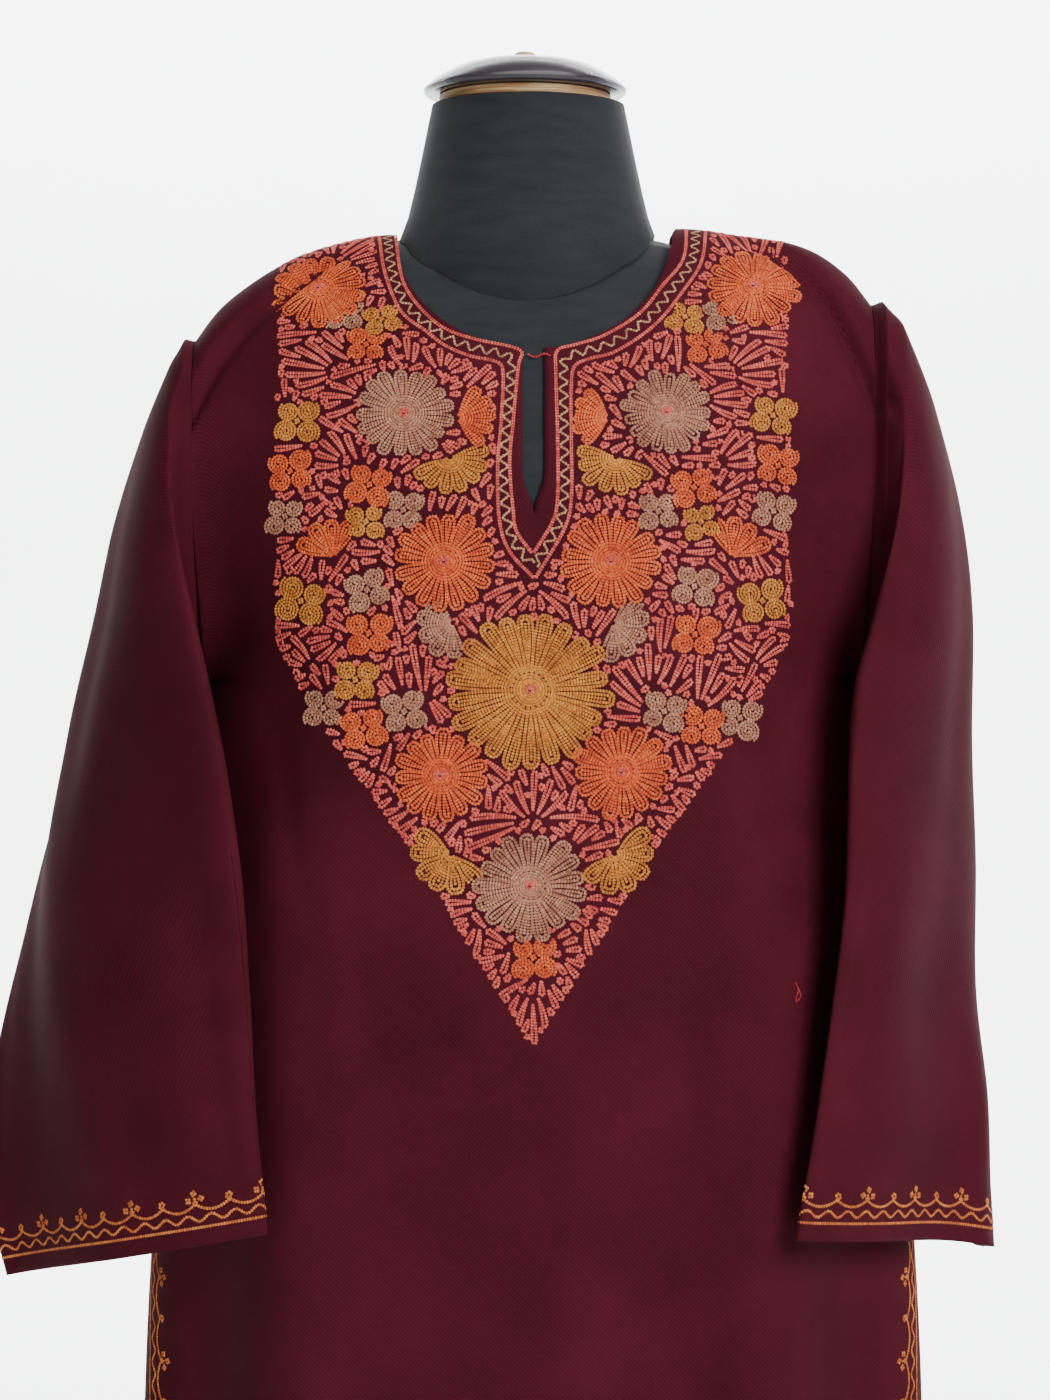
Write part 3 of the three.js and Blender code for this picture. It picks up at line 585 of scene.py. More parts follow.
threadTones = {
    "salmon": (colour(205, 82, 71), colour(162, 50, 47), colour(232, 119, 102)),
    "orange": (colour(212, 84, 36), colour(166, 54, 22), colour(236, 122, 64)),
    "gold": (colour(196, 118, 40), colour(148, 80, 22), colour(222, 152, 66)),
    "taupe": (colour(172, 114, 88), colour(128, 78, 58), colour(204, 150, 122)),
    "beige": (colour(184, 136, 98), colour(136, 92, 62), colour(212, 168, 130)),
    "copper": (colour(192, 104, 42), colour(144, 68, 26), colour(220, 140, 72)),
    "crimson": (colour(156, 26, 38), colour(108, 14, 24), colour(184, 48, 56)),
    "wine": (colour(92, 26, 42), colour(60, 14, 26), colour(124, 44, 62)),
}


def threadMaterial(name, tones):
    # Soft matt yarn: every link has a tone of its own, under a fine fibre grain
    base, dark, light = tones
    material, tree, shader = newMaterial(name, {
        "Roughness": 0.68, "Sheen Weight": 0.06, "Sheen Roughness": 0.5, "Specular IOR Level": 0.3,
    })
    own = addNode(tree, "ShaderNodeAttribute", attribute_name="tone")
    place = addNode(tree, "ShaderNodeTexCoord").outputs["Object"]
    drift = grainOf(tree, place, {"Scale": 45, "Detail": 2.0})
    fibre = grainOf(tree, place, {"Scale": 2600, "Detail": 2.0})
    tone = mixOf(tree, 0.5, own.outputs["Fac"], drift)
    paint(tree, shader, tone, [(0.22, dark), (0.5, base), (0.82, light)])
    joinBump(tree, shader, [(fibre, 1.0)], 0.12 * mm)
    return material


def chainLink():
    # One link of chain stitch, an open loop of two strands: along in pitches, across in widths, up
    bm = bmesh.new()
    for hand in (-1, 1):
        made = bmesh.ops.create_uvsphere(bm, u_segments=4, v_segments=2, radius=1)["verts"]
        bmesh.ops.rotate(bm, verts=made, matrix=Matrix.Rotation(math.radians(90), 3, "Y"))
        for vert in made:
            along, across, up = vert.co
            pole = abs(along) > 0.5
            spread = 0.08 if pole else 0.26
            vert.co = (along * 0.68 + (0.5 if pole else 0.58), hand * spread + across * 0.27, 0.5 + up * 0.9)
    bmesh.ops.triangulate(bm, faces=bm.faces)
    verts = np.array([vert.co for vert in bm.verts])
    faces = np.array([[vert.index for vert in face.verts] for face in bm.faces])
    bm.free()
    return verts, faces


def lengthsOf(path):
    steps = np.linalg.norm(np.diff(path, axis=0), axis=-1)
    return np.concatenate([[0], np.cumsum(steps)])


def makeChart(surface, places, reach, start, facing, even):
    # A map of a piece of cloth in millimetres: s along it and d up from a start line
    columns = np.asarray(places, float)
    ups = np.asarray(reach, float)
    grid = surface(columns[:, None] + 0 * ups[None, :], ups[None, :] + 0 * columns[:, None])
    steps = np.linalg.norm(np.diff(grid, axis=1), axis=-1)
    lengths = np.concatenate([np.zeros((len(columns), 1)), np.cumsum(steps, axis=1)], axis=1)
    zero = np.array([np.interp(start, ups, line) for line in lengths])
    lengths = lengths - zero[:, None]
    ds = np.linspace(lengths.min(), lengths.max(), 400)
    inverse = np.array([np.interp(ds, line, ups) for line in lengths])
    alongs = lengthsOf(surface(columns, np.full(len(columns), float(start))))
    return {"surface": surface, "columns": columns, "ds": ds, "inverse": inverse, "facing": facing,
            "alongs": alongs if even else columns, "lengths": lengths, "ups": ups}


def chartPlace(chart, s, d):
    # Where on the surface a place of the chart lies
    place = np.interp(s, chart["alongs"], chart["columns"])
    i = np.interp(place, chart["columns"], np.arange(len(chart["columns"])))
    j = np.interp(d, chart["ds"], np.arange(len(chart["ds"])))
    i0 = np.minimum(i.astype(int), len(chart["columns"]) - 2)
    j0 = np.minimum(j.astype(int), len(chart["ds"]) - 2)
    a, b = i - i0, j - j0
    table = chart["inverse"]
    up = (table[i0, j0] * (1 - a) * (1 - b) + table[i0 + 1, j0] * a * (1 - b)
          + table[i0, j0 + 1] * (1 - a) * b + table[i0 + 1, j0 + 1] * a * b)
    return place, up


def onCloth(chart, s, d):
    return chart["surface"](*chartPlace(chart, s, d))


def clothFrame(chart, s, d, tangents):
    # Point, direction along the row and outward normal at each place of the chart
    step = 0.6
    point = onCloth(chart, s, d)
    ahead = onCloth(chart, s + tangents[:, 0] * step, d + tangents[:, 1] * step) - point
    right = onCloth(chart, s + step, d) - onCloth(chart, s - step, d)
    above = onCloth(chart, s, d + step) - onCloth(chart, s, d - step)
    normal = unitOf(np.cross(right, above) * chart["facing"])
    reach = np.maximum(np.linalg.norm(ahead, axis=-1, keepdims=True), 1e-9)
    return point, ahead / reach, normal, np.clip(reach / step, 0.5, 2.5)


def placesOn(path, total, at):
    # The points of a line at some lengths along it
    return np.stack([np.interp(at, total, path[:, k]) for k in (0, 1)], axis=-1)


def unitOf(vectors):
    return vectors / np.maximum(np.linalg.norm(vectors, axis=-1, keepdims=True), 1e-9)


def headingOf(angle):
    return np.array([math.cos(angle), math.sin(angle)])


def alongPath(path, pitch):
    # Even steps along a line, with the direction at each
    path = np.asarray(path, float)
    total = lengthsOf(path)
    count = max(int(round(total[-1] / pitch)), 1)
    at = (np.arange(count) + 0.02) * total[-1] / count
    ahead = np.minimum(at + pitch * 0.6, total[-1])
    behind = np.maximum(at - pitch * 0.2, 0)
    tangents = placesOn(path, total, ahead) - placesOn(path, total, behind)
    return placesOn(path, total, at), unitOf(tangents)


linkVerts, linkFaces = chainLink()


def layThreads(name, rows, material):
    # rows: charts with the places and directions of the links, their width and how far they are lifted
    pieces = []
    for chart, points, tangents, width, lift in rows:
        place, ahead, normal, stretch = clothFrame(chart, points[:, 0], points[:, 1], tangents)
        side = np.cross(normal, ahead)
        jitter = 1 + noise.uniform(-0.08, 0.08, (len(points), 1, 1))
        along = linkVerts[None, :, 0:1] * stitch["pitch"] * stretch[:, None]
        across = linkVerts[None, :, 1:2] * width * jitter
        up = (linkVerts[None, :, 2:3] - 0.35) * stitch["height"] * (width / 2) * jitter + lift
        pieces.append(place[:, None] + ahead[:, None] * along + side[:, None] * across + normal[:, None] * up)
    links = np.concatenate(pieces) * mm
    count, corners = len(links), len(linkVerts)
    faces = (linkFaces[None] + (np.arange(count) * corners)[:, None, None]).reshape(-1)
    mesh = bpy.data.meshes.new(name)
    mesh.vertices.add(count * corners)
    mesh.vertices.foreach_set("co", links.reshape(-1))
    mesh.loops.add(len(faces))
    mesh.loops.foreach_set("vertex_index", faces)
    mesh.polygons.add(len(faces) // 3)
    mesh.polygons.foreach_set("loop_start", np.arange(0, len(faces), 3))
    mesh.update(calc_edges=True)
    tone = mesh.attributes.new("tone", "FLOAT", "POINT")
    tone.data.foreach_set("value", np.repeat(noise.uniform(0.2, 0.85, count), corners))
    piece = bpy.data.objects.new(name, mesh)
    bpy.context.collection.objects.link(piece)
    finishPiece(piece, material)
    print(name, count, "links", len(faces) // 3, "triangles")


def panelSurface(side):
    # A panel by x and by how far up: below 0 the skirt in metres, above it the armhole's share
    def surface(x, up):
        g = garment
        share = np.clip(up, 0, 1)
        z = g["underarm"] + np.minimum(up, 0) * 1000
        level = z + (g["armholeTop"] - g["underarm"]) * share
        across = np.clip((x - g["shift"]) / readTable(bodySections, "width", level), -1, 1)
        return bodyPoint(side, z, share, across)

    return surface


panelReach = np.concatenate([np.linspace(-0.3, -0.002, 60), np.sin(np.linspace(0, 0.4985 * np.pi, 120))])
front = makeChart(panelSurface(-1), np.arange(-196, 207, 3), panelReach, 0, 1, False)
back = makeChart(panelSurface(1), np.arange(-136, 147, 3), panelReach, 0, -1, False)


def heightToChart(chart, x, z):
    # The chart's d of points seen level at height z
    x, z = np.atleast_1d(np.asarray(x, float)), np.atleast_1d(np.asarray(z, float))
    reach = readTable(shoulderLine, "height", x) - garment["underarm"]
    up = (z - garment["underarm"]) / np.where(z > garment["underarm"], reach, 1000)
    up = np.minimum(up, 0.9999)
    column = np.clip(np.round((x - chart["columns"][0]) / 3).astype(int), 0, len(chart["columns"]) - 1)
    return np.array([np.interp(u, chart["ups"], chart["lengths"][c]) for u, c in zip(up, column)])


def onChart(chart, points):
    # Points seen level, in x and z, as places of the chart
    points = np.atleast_2d(np.array(points, float))
    return np.stack([points[:, 0], heightToChart(chart, points[:, 0], points[:, 1])], axis=-1)


def smoothLine(points, parts=8):
    # A curve through a few points (Catmull-Rom)
    points = np.asarray(points, float)
    padded = np.concatenate([[2 * points[0] - points[1]], points, [2 * points[-1] - points[-2]]])
    out = []
    for k in range(len(points) - 1):
        a, b, c, e = padded[k:k + 4]
        for t in np.arange(parts) / parts:
            out.append(0.5 * (2 * b + (c - a) * t + (2 * a - 5 * b + 4 * c - e) * t ** 2
                              + (3 * b - a - 3 * c + e) * t ** 3))
    out.append(points[-1])
    return np.array(out)


# Ground plan of the yoke, in millimetres of its chart
yoke = {
    "middle": 4.5, "left": -172, "right": 182, "low": -262, "high": 330, "seamGap": 1.6,
    "halfOutline": [
        (154, 1400), (155, 1340), (153.5, 1290), (155.5, 1240), (153.5, 1190), (155, 1130), (140, 1100),
        (121, 1070), (95, 1032), (66, 993), (40, 945), (15, 905), (0, 880),
    ],
}
ground = {"taken": np.zeros((yoke["right"] - yoke["left"], yoke["high"] - yoke["low"]), bool)}
ground["bare"] = ground["taken"].copy()
ground["way"] = np.full(ground["taken"].shape, np.nan)


def cellOf(points):
    points = np.asarray(points, float)
    wide, high = ground["taken"].shape
    i = np.clip((points[..., 0] - yoke["left"]).astype(int), 0, wide - 1)
    j = np.clip((points[..., 1] - yoke["low"]).astype(int), 0, high - 1)
    return i, j


def isTaken(points):
    return ground["taken"][cellOf(points)]


def take(points, radius):
    reach = int(math.ceil(radius))
    for di in range(-reach, reach + 1):
        for dj in range(-reach, reach + 1):
            if math.hypot(di, dj) <= radius + 0.2:
                ground["taken"][cellOf(points + np.array([di, dj]))] = True


def insideOutline(points, outline):
    inside = np.zeros(len(points), bool)
    x, y = points[:, 0], points[:, 1]
    for (x0, y0), (x1, y1) in zip(outline, np.roll(outline, -1, axis=0)):
        crosses = (y0 > y) != (y1 > y)
        if y0 != y1:
            inside ^= crosses & (x < (x1 - x0) * (y - y0) / (y1 - y0) + x0)
    return inside


threadRows = {name: [] for name in threadTones}


def sew(colourName, paths, against=None, lift=0.0):
    # Chain-stitch rows along the paths, left out where other thread already lies
    width = stitch["width"]
    held = ground["taken"] if against is None else against
    laid = []
    for path in paths:
        points, tangents = alongPath(path, stitch["pitch"])
        free = ~held[cellOf(points)]
        points, tangents = points[free], tangents[free]
        if len(points):
            threadRows[colourName].append((front, points, tangents, width, lift))
            laid.append(points)
    if laid:
        take(np.concatenate(laid), width * 0.5)


def petalPaths(base, angle, length, halfWidth, foot, bend=0.0):
    # Rows that fill a petal or finger: loops one inside another, narrow at the foot, round at the tip
    direction = headingOf(angle)
    across = np.array([-direction[1], direction[0]])
    cap = min(halfWidth / length, 0.5)
    rows = max(int(round(2 * halfWidth / (stitch["width"] * 1.06))), 1)
    spacing = 2 * halfWidth / rows
    paths = []
    for k in range((rows + 1) // 2):
        inset = spacing * (k + 0.5)
        s = np.linspace(0, 1 - inset / length, 22)
        half = foot + (halfWidth - foot) * np.sin(np.clip(s / max(1 - cap, 0.5), 0, 1) * np.pi / 2)
        tip = np.clip((s - (1 - cap)) / cap, 0, 1)
        half = half * np.sqrt(np.maximum(1 - tip ** 2, 0)) - inset
        opens = half > -0.52 * spacing
        start = np.argmax(opens) if opens.any() else len(s)
        middle = base + direction * (s * length)[:, None] + across * (bend * s ** 2 * length)[:, None]
        apart = across * np.maximum(half, 0)[:, None]
        if len(s) - start < 2:
            continue
        if rows % 2 and k == rows // 2:
            paths.append(middle[start:])
        else:
            paths.append(np.concatenate([(middle + apart)[start:], (middle - apart)[start:][::-1]]))
    return paths


def coilPath(centre, radius, turn, hand=1):
    # A spiral from its rim to its middle
    width = stitch["width"]
    turns = max((radius - width / 2) / width, 1)
    t = np.linspace(0, 1, int(turns * 18))
    r = (radius - width / 2) * (1 - t) + 0.5 * t
    a = turn + hand * t * turns * 2 * np.pi
    return np.stack([centre[0] + r * np.cos(a), centre[1] + r * np.sin(a)], axis=-1)


def flower(colourName, centre, radius, petals, start=0.0, sweep=None, heart="salmon"):
    # A round or half flower: petals from a small heart, each a little different
    under = ground["taken" if sweep else "bare"].copy()
    sweep = math.tau if sweep is None else sweep
    whole = sweep >= math.tau - 0.01
    for k in range(petals):
        angle = start + sweep * (k + (0 if whole else 0.5)) / petals
        length = radius * (1 + noise.uniform(-0.07, 0.05))
        half = math.tan(sweep / petals / 2) * length * 0.8
        half = min(half, length * 0.36)
        turned = angle + noise.uniform(-0.025, 0.025)
        base = centre + 1.5 * headingOf(turned)
        bend = noise.uniform(-0.03, 0.03)
        sew(colourName, petalPaths(base, turned, length - 1.5, half, 0.5, bend), under, 0.35 * (k % 2))
    if heart:
        sew(heart, [coilPath(centre, 4.2, 0)], under, 0.9)


def coils(colourName, centre, radius, turn):
    # Four coils round one point
    under = ground["taken"].copy()
    for k in range(4):
        angle = turn + k * math.pi / 2 + noise.uniform(-0.12, 0.12)
        own = radius * (1 + noise.uniform(-0.12, 0.04))
        middle = centre + own * 1.16 * headingOf(angle)
        sew(colourName, [coilPath(middle, own, angle, 1 if k % 2 else -1)], under, 0.3 * (k % 2))
    sew(colourName, [coilPath(centre, 2.6, turn)], under, 0.2)


fingerHalf = 2.5  # half width of a finger, in millimetres


def roomsFor(place, angles, length, half, bend=0.0):
    # How far a finger can go before it meets other thread, on each of several ways
    s = np.arange(1.0, length + 1.0, 1.0)
    ways = np.stack([np.cos(angles), np.sin(angles)], axis=-1)
    across = np.stack([-ways[:, 1], ways[:, 0]], axis=-1)[:, None]
    bowed = (bend * (s / length) ** 2 * length)[None, :, None]
    middle = place + ways[:, None] * s[None, :, None] + across * bowed
    sides = [middle, middle + across * half * 0.8, middle - across * half * 0.8]
    blocked = isTaken(np.stack(sides)).any(axis=0)
    blocked[:, :3] = isTaken(middle[:, :3])
    free = np.where(blocked.any(axis=1), blocked.argmax(axis=1), len(s))
    return np.where(free > 0, free - 0.3, 0)


def finger(colourName, base, angle, length, half, bend=0.0, least=7.0):
    # A finger that stops short of what is already sewn; returns whether there was room for it
    room = min(roomsFor(base, np.array([angle]), length, half, bend)[0], length)
    if room < least:
        return False
    sew(colourName, petalPaths(base, angle, room, half, half * 0.5, bend * room / length))
    s = np.arange(0, room, 2.0)
    spine = base + headingOf(angle) * s[:, None]
    for di in range(-6, 7, 2):
        for dj in range(-6, 7, 2):
            ground["way"][cellOf(spine + np.array([di, dj]))] = angle
    return True


def spray(base, angle, count, fan, length, curl=0.2):
    # Fingers that fan out along a short stem, the middle one first
    heading = headingOf(angle)
    for k in sorted(range(count), key=lambda k: abs(k - (count - 1) / 2)):
        share = 0 if count == 1 else 2 * k / (count - 1) - 1
        turned = angle + share * fan / 2 + noise.uniform(-0.05, 0.05)
        own = length * (1 - 0.2 * abs(share)) * (1 + noise.uniform(-0.08, 0.08))
        side = np.array([-heading[1], heading[0]]) * share * count * 0.95
        off = base + heading * (1 - abs(share)) * 3.5 + side
        finger("salmon", off, turned, own, fingerHalf, -share * curl)


# Neck and slit border, seen level: its inner and outer lines on either side, from shoulder to tip
neckBorder = {
    "leftInner": [(-79, 1382), (-75, 1357), (-69, 1341), (-57, 1326), (-45, 1317), (-28, 1311), (-10, 1307),
                  (-2, 1303), (-4, 1294), (-7, 1260), (-9, 1235), (-7, 1206), (-5, 1193), (4, 1180)],
    "leftOuter": [(-89, 1380), (-85, 1358), (-78, 1337), (-71, 1326), (-59, 1317), (-48, 1308), (-33, 1301),
                  (-17, 1297), (-13, 1290), (-14, 1260), (-16, 1235), (-15, 1200), (-9, 1181), (5, 1165)],
    "rightInner": [(98, 1383), (95, 1362), (82, 1345), (68, 1328), (47, 1314), (30, 1308), (19, 1304),
                   (18, 1290), (19, 1250), (19, 1215), (16, 1199), (5, 1180)],
    "rightOuter": [(110, 1382), (106, 1360), (94, 1340), (77, 1320), (54, 1304), (38, 1299), (29, 1294),
                   (27, 1280), (27, 1250), (27, 1215), (23, 1195), (6, 1165)],
    "period": 9.0, "swing": 2.3, "lineWidth": 2.6, "zigzagWidth": 1.7,
}


def borderLine(name):
    return smoothLine(onChart(front, neckBorder[name]))


def zigzagPath(middle, period, swing):
    # A wave that swings either side of a middle line
    total = lengthsOf(middle)
    at = np.arange(0, total[-1], 0.9)
    line = placesOn(middle, total, at)
    along = unitOf(np.gradient(line, axis=0))
    across = np.stack([-along[:, 1], along[:, 0]], axis=-1)
    wave = swing * np.sin(2 * np.pi * at / period)
    return line + across * wave[:, None]


def middleOf(one, other):
    share = np.linspace(0, 1, 160)
    spans = [placesOn(line, lengthsOf(line), share * lengthsOf(line)[-1]) for line in (one, other)]
    return (spans[0] + spans[1]) / 2


def planYoke():
    # Everything outside the outline, past the shoulder seam or inside the neck border is no ground
    wide, high = ground["taken"].shape
    i, j = np.meshgrid(np.arange(wide), np.arange(high), indexing="ij")
    cells = np.stack([i.ravel() + yoke["left"] + 0.5, j.ravel() + yoke["low"] + 0.5], axis=-1).astype(float)
    half = np.array(yoke["halfOutline"], float)
    right = onChart(front, np.stack([yoke["middle"] + half[:, 0], half[:, 1]], axis=-1))
    left = onChart(front, np.stack([yoke["middle"] - half[:, 0], half[:, 1]], axis=-1))[::-1]
    top = np.interp(cells[:, 0], front["columns"], front["lengths"][:, -1]) - yoke["seamGap"]
    right[0, 1] = left[-1, 1] = yoke["high"]
    inside = insideOutline(cells, np.concatenate([right, left]))
    neck = np.concatenate([borderLine("leftOuter"), borderLine("rightOuter")[::-1]])
    neck[0, 1] = neck[-1, 1] = yoke["high"]
    neckRoom = insideOutline(cells, neck)
    ground["bare"] = (neckRoom | (cells[:, 1] > top)).reshape(wide, high)
    ground["outside"] = ~inside.reshape(wide, high)
    ground["taken"] = ground["bare"].copy()


planYoke()
for hand in ("left", "right"):
    inner, outer = borderLine(hand + "Inner"), borderLine(hand + "Outer")
    wave = zigzagPath(middleOf(inner, outer), neckBorder["period"], neckBorder["swing"])
    for name, tone, width in (("salmon", inner, "lineWidth"), ("salmon", outer, "lineWidth"),
                              ("beige", wave, "zigzagWidth")):
        points, tangents = alongPath(tone, stitch["pitch"])
        threadRows[name].append((front, points, tangents, neckBorder[width], 0.0))
    take(alongPath(outer, 1.0)[0], 1.6)

# The yoke's flowers, seen level: colour, x, z, radius, petals
wholeFlowers = [
    ("taupe", -71, 1265, 29, 17), ("taupe", 83, 1265, 27, 17), ("orange", -47, 1175, 31, 16),
    ("orange", 50, 1175, 30, 16), ("gold", 3, 1098, 48, 22), ("orange", -49, 1047, 28, 15),
    ("orange", 56, 1049, 29, 15), ("taupe", 3, 981, 33, 17), ("orange", -124, 1343, 30, 15),
    ("orange", 137, 1344, 30, 15),
]
# Half flowers: colour, x, z, length, petals, first angle and sweep in degrees; each has its twin
halfFlowers = [
    ("orange", -40, 1262, 23, 5, -60, 130), ("gold", -44, 1238, 24, 7, -165, 190),
    ("taupe", -42, 1138, 23, 5, 120, 170), ("gold", -43, 1000, 24, 6, 130, 200),
    ("orange", -112, 1178, 25, 4, 50, 120),
]
# Coils in fours: colour, x, z and radius of a coil
coilClusters = [
    ("taupe", -108, 1326, 7), ("gold", -85, 1323, 7), ("orange", -94, 1306, 7), ("gold", -135, 1260, 8),
    ("orange", -139, 1230, 8), ("taupe", -142, 1203, 7), ("orange", -91, 1221, 8), ("taupe", -71, 1206, 7),
    ("gold", -93, 1199, 6.5), ("taupe", -92, 1158, 7.4), ("orange", -91, 1132, 8), ("gold", -132, 1152, 8.4),
    ("gold", -99, 1104, 7.6), ("taupe", -70, 1085, 7.4), ("orange", -94, 1075, 7.6),
    ("taupe", -118, 1087, 7.2), ("taupe", 118, 1326, 7), ("gold", 95, 1323, 7), ("orange", 107, 1305, 7),
    ("gold", 147, 1263, 8), ("orange", 150, 1233, 7.8), ("taupe", 147, 1206, 7.2), ("orange", 99, 1219, 7.8),
    ("taupe", 78, 1205, 7.2), ("gold", 103, 1199, 6.5), ("taupe", 99, 1160, 7.6), ("orange", 99, 1131, 8),
    ("gold", 140, 1152, 8.6), ("taupe", 81, 1085, 7.4), ("orange", 103, 1076, 7.4),
    ("taupe", 126, 1081, 7.6), ("orange", 5, 938, 7.6),
]
# Sprays of fingers: x, z, heading in degrees, fingers, fan in degrees, length; each has its twin
handSprays = [
    (4.5, 1156, 250, 4, 70, 34), (0, 1160, 215, 3, 40, 36), (4.5, 1022, 90, 5, 110, 26),
    (4.5, 1018, 90, 1, 0, 33), (4.5, 914, 270, 3, 50, 26), (-14, 930, 250, 3, 40, 22),
    (-4, 1018, 200, 4, 60, 34), (-30, 958, 230, 5, 80, 24), (-90, 1052, 205, 5, 90, 26),
    (-84, 1020, 225, 5, 70, 26), (-62, 1010, 240, 3, 40, 28), (-128, 1112, 165, 5, 90, 22),
    (-74, 1118, 120, 5, 80, 26), (-60, 1138, 250, 4, 60, 30), (-112, 1130, 200, 4, 70, 22),
    (-148, 1180, 250, 5, 80, 24), (-108, 1236, 150, 4, 80, 24), (-116, 1290, 165, 5, 80, 26),
    (-100, 1272, 180, 4, 70, 22), (-122, 1313, 190, 4, 60, 26), (-52, 1228, 120, 4, 60, 24),
    (-24, 1212, 100, 3, 40, 34), (-118, 1216, 200, 4, 60, 18), (-84, 1184, 165, 3, 50, 22),
    (-48, 1292, 70, 5, 110, 20), (-94, 1293, 120, 4, 60, 18), (-128, 1182, 225, 4, 70, 22),
    (-72, 1150, 300, 3, 40, 22), (-20, 1150, 150, 3, 50, 26), (-70, 1296, 100, 4, 60, 18),
]


def mirrored(x):
    return 2 * yoke["middle"] - x


def sewYoke():
    flowers = []
    for name, x, z, radius, petals in wholeFlowers:
        centre = onChart(front, (x, z))[0]
        flowers.append((centre, radius))
        flower(name, centre, radius, petals, noise.uniform(0, 0.3))
    for name, x, z, radius in coilClusters:
        centre = onChart(front, (x, z))[0]
        flowers.append((centre, radius * 2.1))
        coils(name, centre, radius, noise.uniform(0.5, 1.1))
    for name, x, z, length, petals, first, sweep in halfFlowers:
        for twin in (False, True):
            centre = onChart(front, (mirrored(x) if twin else x, z))[0]
            start = math.pi - math.radians(first + sweep) if twin else math.radians(first)
            flower(name, centre, length, petals, start, math.radians(sweep), None)
    ground["taken"] |= ground["outside"]
    for x, z, heading, count, fan, length in handSprays:
        for twin in (False, True):
            if twin and abs(x - yoke["middle"]) < 1 and heading in (90, 270):
                continue
            base = onChart(front, (mirrored(x) if twin else x, z))[0]
            turned = 180 - heading if twin else heading
            spray(base, math.radians(turned), count, math.radians(fan), length)
    centres, radii = zip(*flowers)
    fillGround(np.array(centres), np.array(radii))


def clearance(taken, most=14):
    # How many millimetres each free cell lies from thread or edge, up to the most asked for
    depth = np.zeros(taken.shape, int)
    free = ~taken
    for _ in range(most):
        depth += free
        inner = free.copy()
        for axis in (0, 1):
            for way in (1, -1):
                inner &= np.roll(free, way, axis=axis)
        free = inner
    return depth


def leadingAway(place, centres, radii, middle, sway):
    # Fingers lead away from the nearest flower, and a little outwards over the chest
    away = place - centres
    near = np.argmin(np.linalg.norm(away, axis=-1) - radii)
    heading = away[near] / np.linalg.norm(away[near])
    outwards = (place - middle) / np.linalg.norm(place - middle)
    swirl = 0.35 if place[0] > middle[0] else -0.35
    heading = heading * 0.75 + outwards * 0.45
    return math.atan2(heading[1], heading[0]) + swirl + noise.uniform(-sway, sway)


# Sprays by room: fingers, fan, length, clearance they need, rounds, how many in a round
sprayPasses = ((6, 1.5, 32, 8, 10, 8), (4, 0.9, 26, 6, 16, 12), (3, 0.6, 20, 5, 12, 16))
# Single fingers: length, least length, how far at most from what is sewn; and the turns tried
fingerPasses = ((30, 20, 5), (24, 14, 5), (18, 9.5, 6), (13, 6.5, 8), (9, 4.6, 9))
fingerTurns = np.array([0, 0.2, -0.2, 0.45, -0.45])


def fillGround(centres, radii):
    # The roomiest bare places first: sprays, then pairs and single fingers in what is left
    middle = onChart(front, (yoke["middle"], 1120))[0]
    corner = np.array([yoke["left"] + 0.5, yoke["low"] + 0.5])
    for count, fan, length, room, rounds, batch in sprayPasses:
        for _ in range(rounds):
            depth = clearance(ground["taken"])
            cells = np.argwhere(depth >= room)
            if not len(cells):
                break
            order = np.argsort(-depth[depth >= room] + noise.uniform(0, 1.5, len(cells)))[:batch]
            for cell in cells[order]:
                place = cell + corner
                if isTaken(place):
                    continue
                angle = leadingAway(place, centres, radii, middle, 0.15)
                for shift in (0.5, 0.35, 0.2, 0.0):
                    base = place - headingOf(angle) * length * shift
                    if not isTaken(base):
                        break
                spray(base, angle, count, fan, length)
    # then fingers snug beside what is sewn, keeping the lie of their neighbour
    for length, least, deepest in fingerPasses:
        for _ in range(9):
            depth = clearance(ground["taken"], 10)
            free = np.argwhere((depth >= 3 if least > 5 else depth >= 2) & (depth <= deepest))
            noise.shuffle(free)
            made = 0
            for cell in free[:1500]:
                place = cell + corner
                if isTaken(place):
                    continue
                lead = ground["way"][cell[0], cell[1]] + noise.uniform(-0.1, 0.1)
                if np.isnan(lead):
                    lead = leadingAway(place, centres, radii, middle, 0.1)
                ahead = roomsFor(place, lead + fingerTurns, length, fingerHalf)
                behind = roomsFor(place, lead + fingerTurns + math.pi, length, fingerHalf)
                score = np.minimum(ahead + behind, length) - np.abs(fingerTurns) * 3
                best = int(score.argmax())
                if score[best] < least:
                    continue
                angle = lead + fingerTurns[best]
                base = place - headingOf(angle) * max(behind[best] - 1, 0)
                bend = noise.uniform(0.04, 0.14) * (1 if place[0] > middle[0] else -1)
                made += finger("salmon", base, angle, length, fingerHalf, bend, least * 0.7)
            if made < 4:
                break
        print("fingers", length, made)


sewYoke()


def backNeckLine(off):
    # A line that runs round the back neck, off millimetres outside its edge
    g = garment
    turn = np.radians(np.linspace(2, 178, 60))
    x = g["shift"] + (g["neckHalfWidth"] + off) * np.cos(turn)
    z = g["neckHeight"] - (g["backNeckDrop"] + off) * np.sin(turn)
    return onChart(back, np.stack([x, z], axis=-1))


for off, swing, width, name in ((5, 0, 2.6, "salmon"), (15, 0, 2.6, "salmon"), (10, 2.3, 1.7, "beige")):
    line = backNeckLine(off)
    line = zigzagPath(line, neckBorder["period"], swing) if swing else line
    points, tangents = alongPath(line, stitch["pitch"])
    threadRows[name].append((back, points, tangents, width, 0.0))

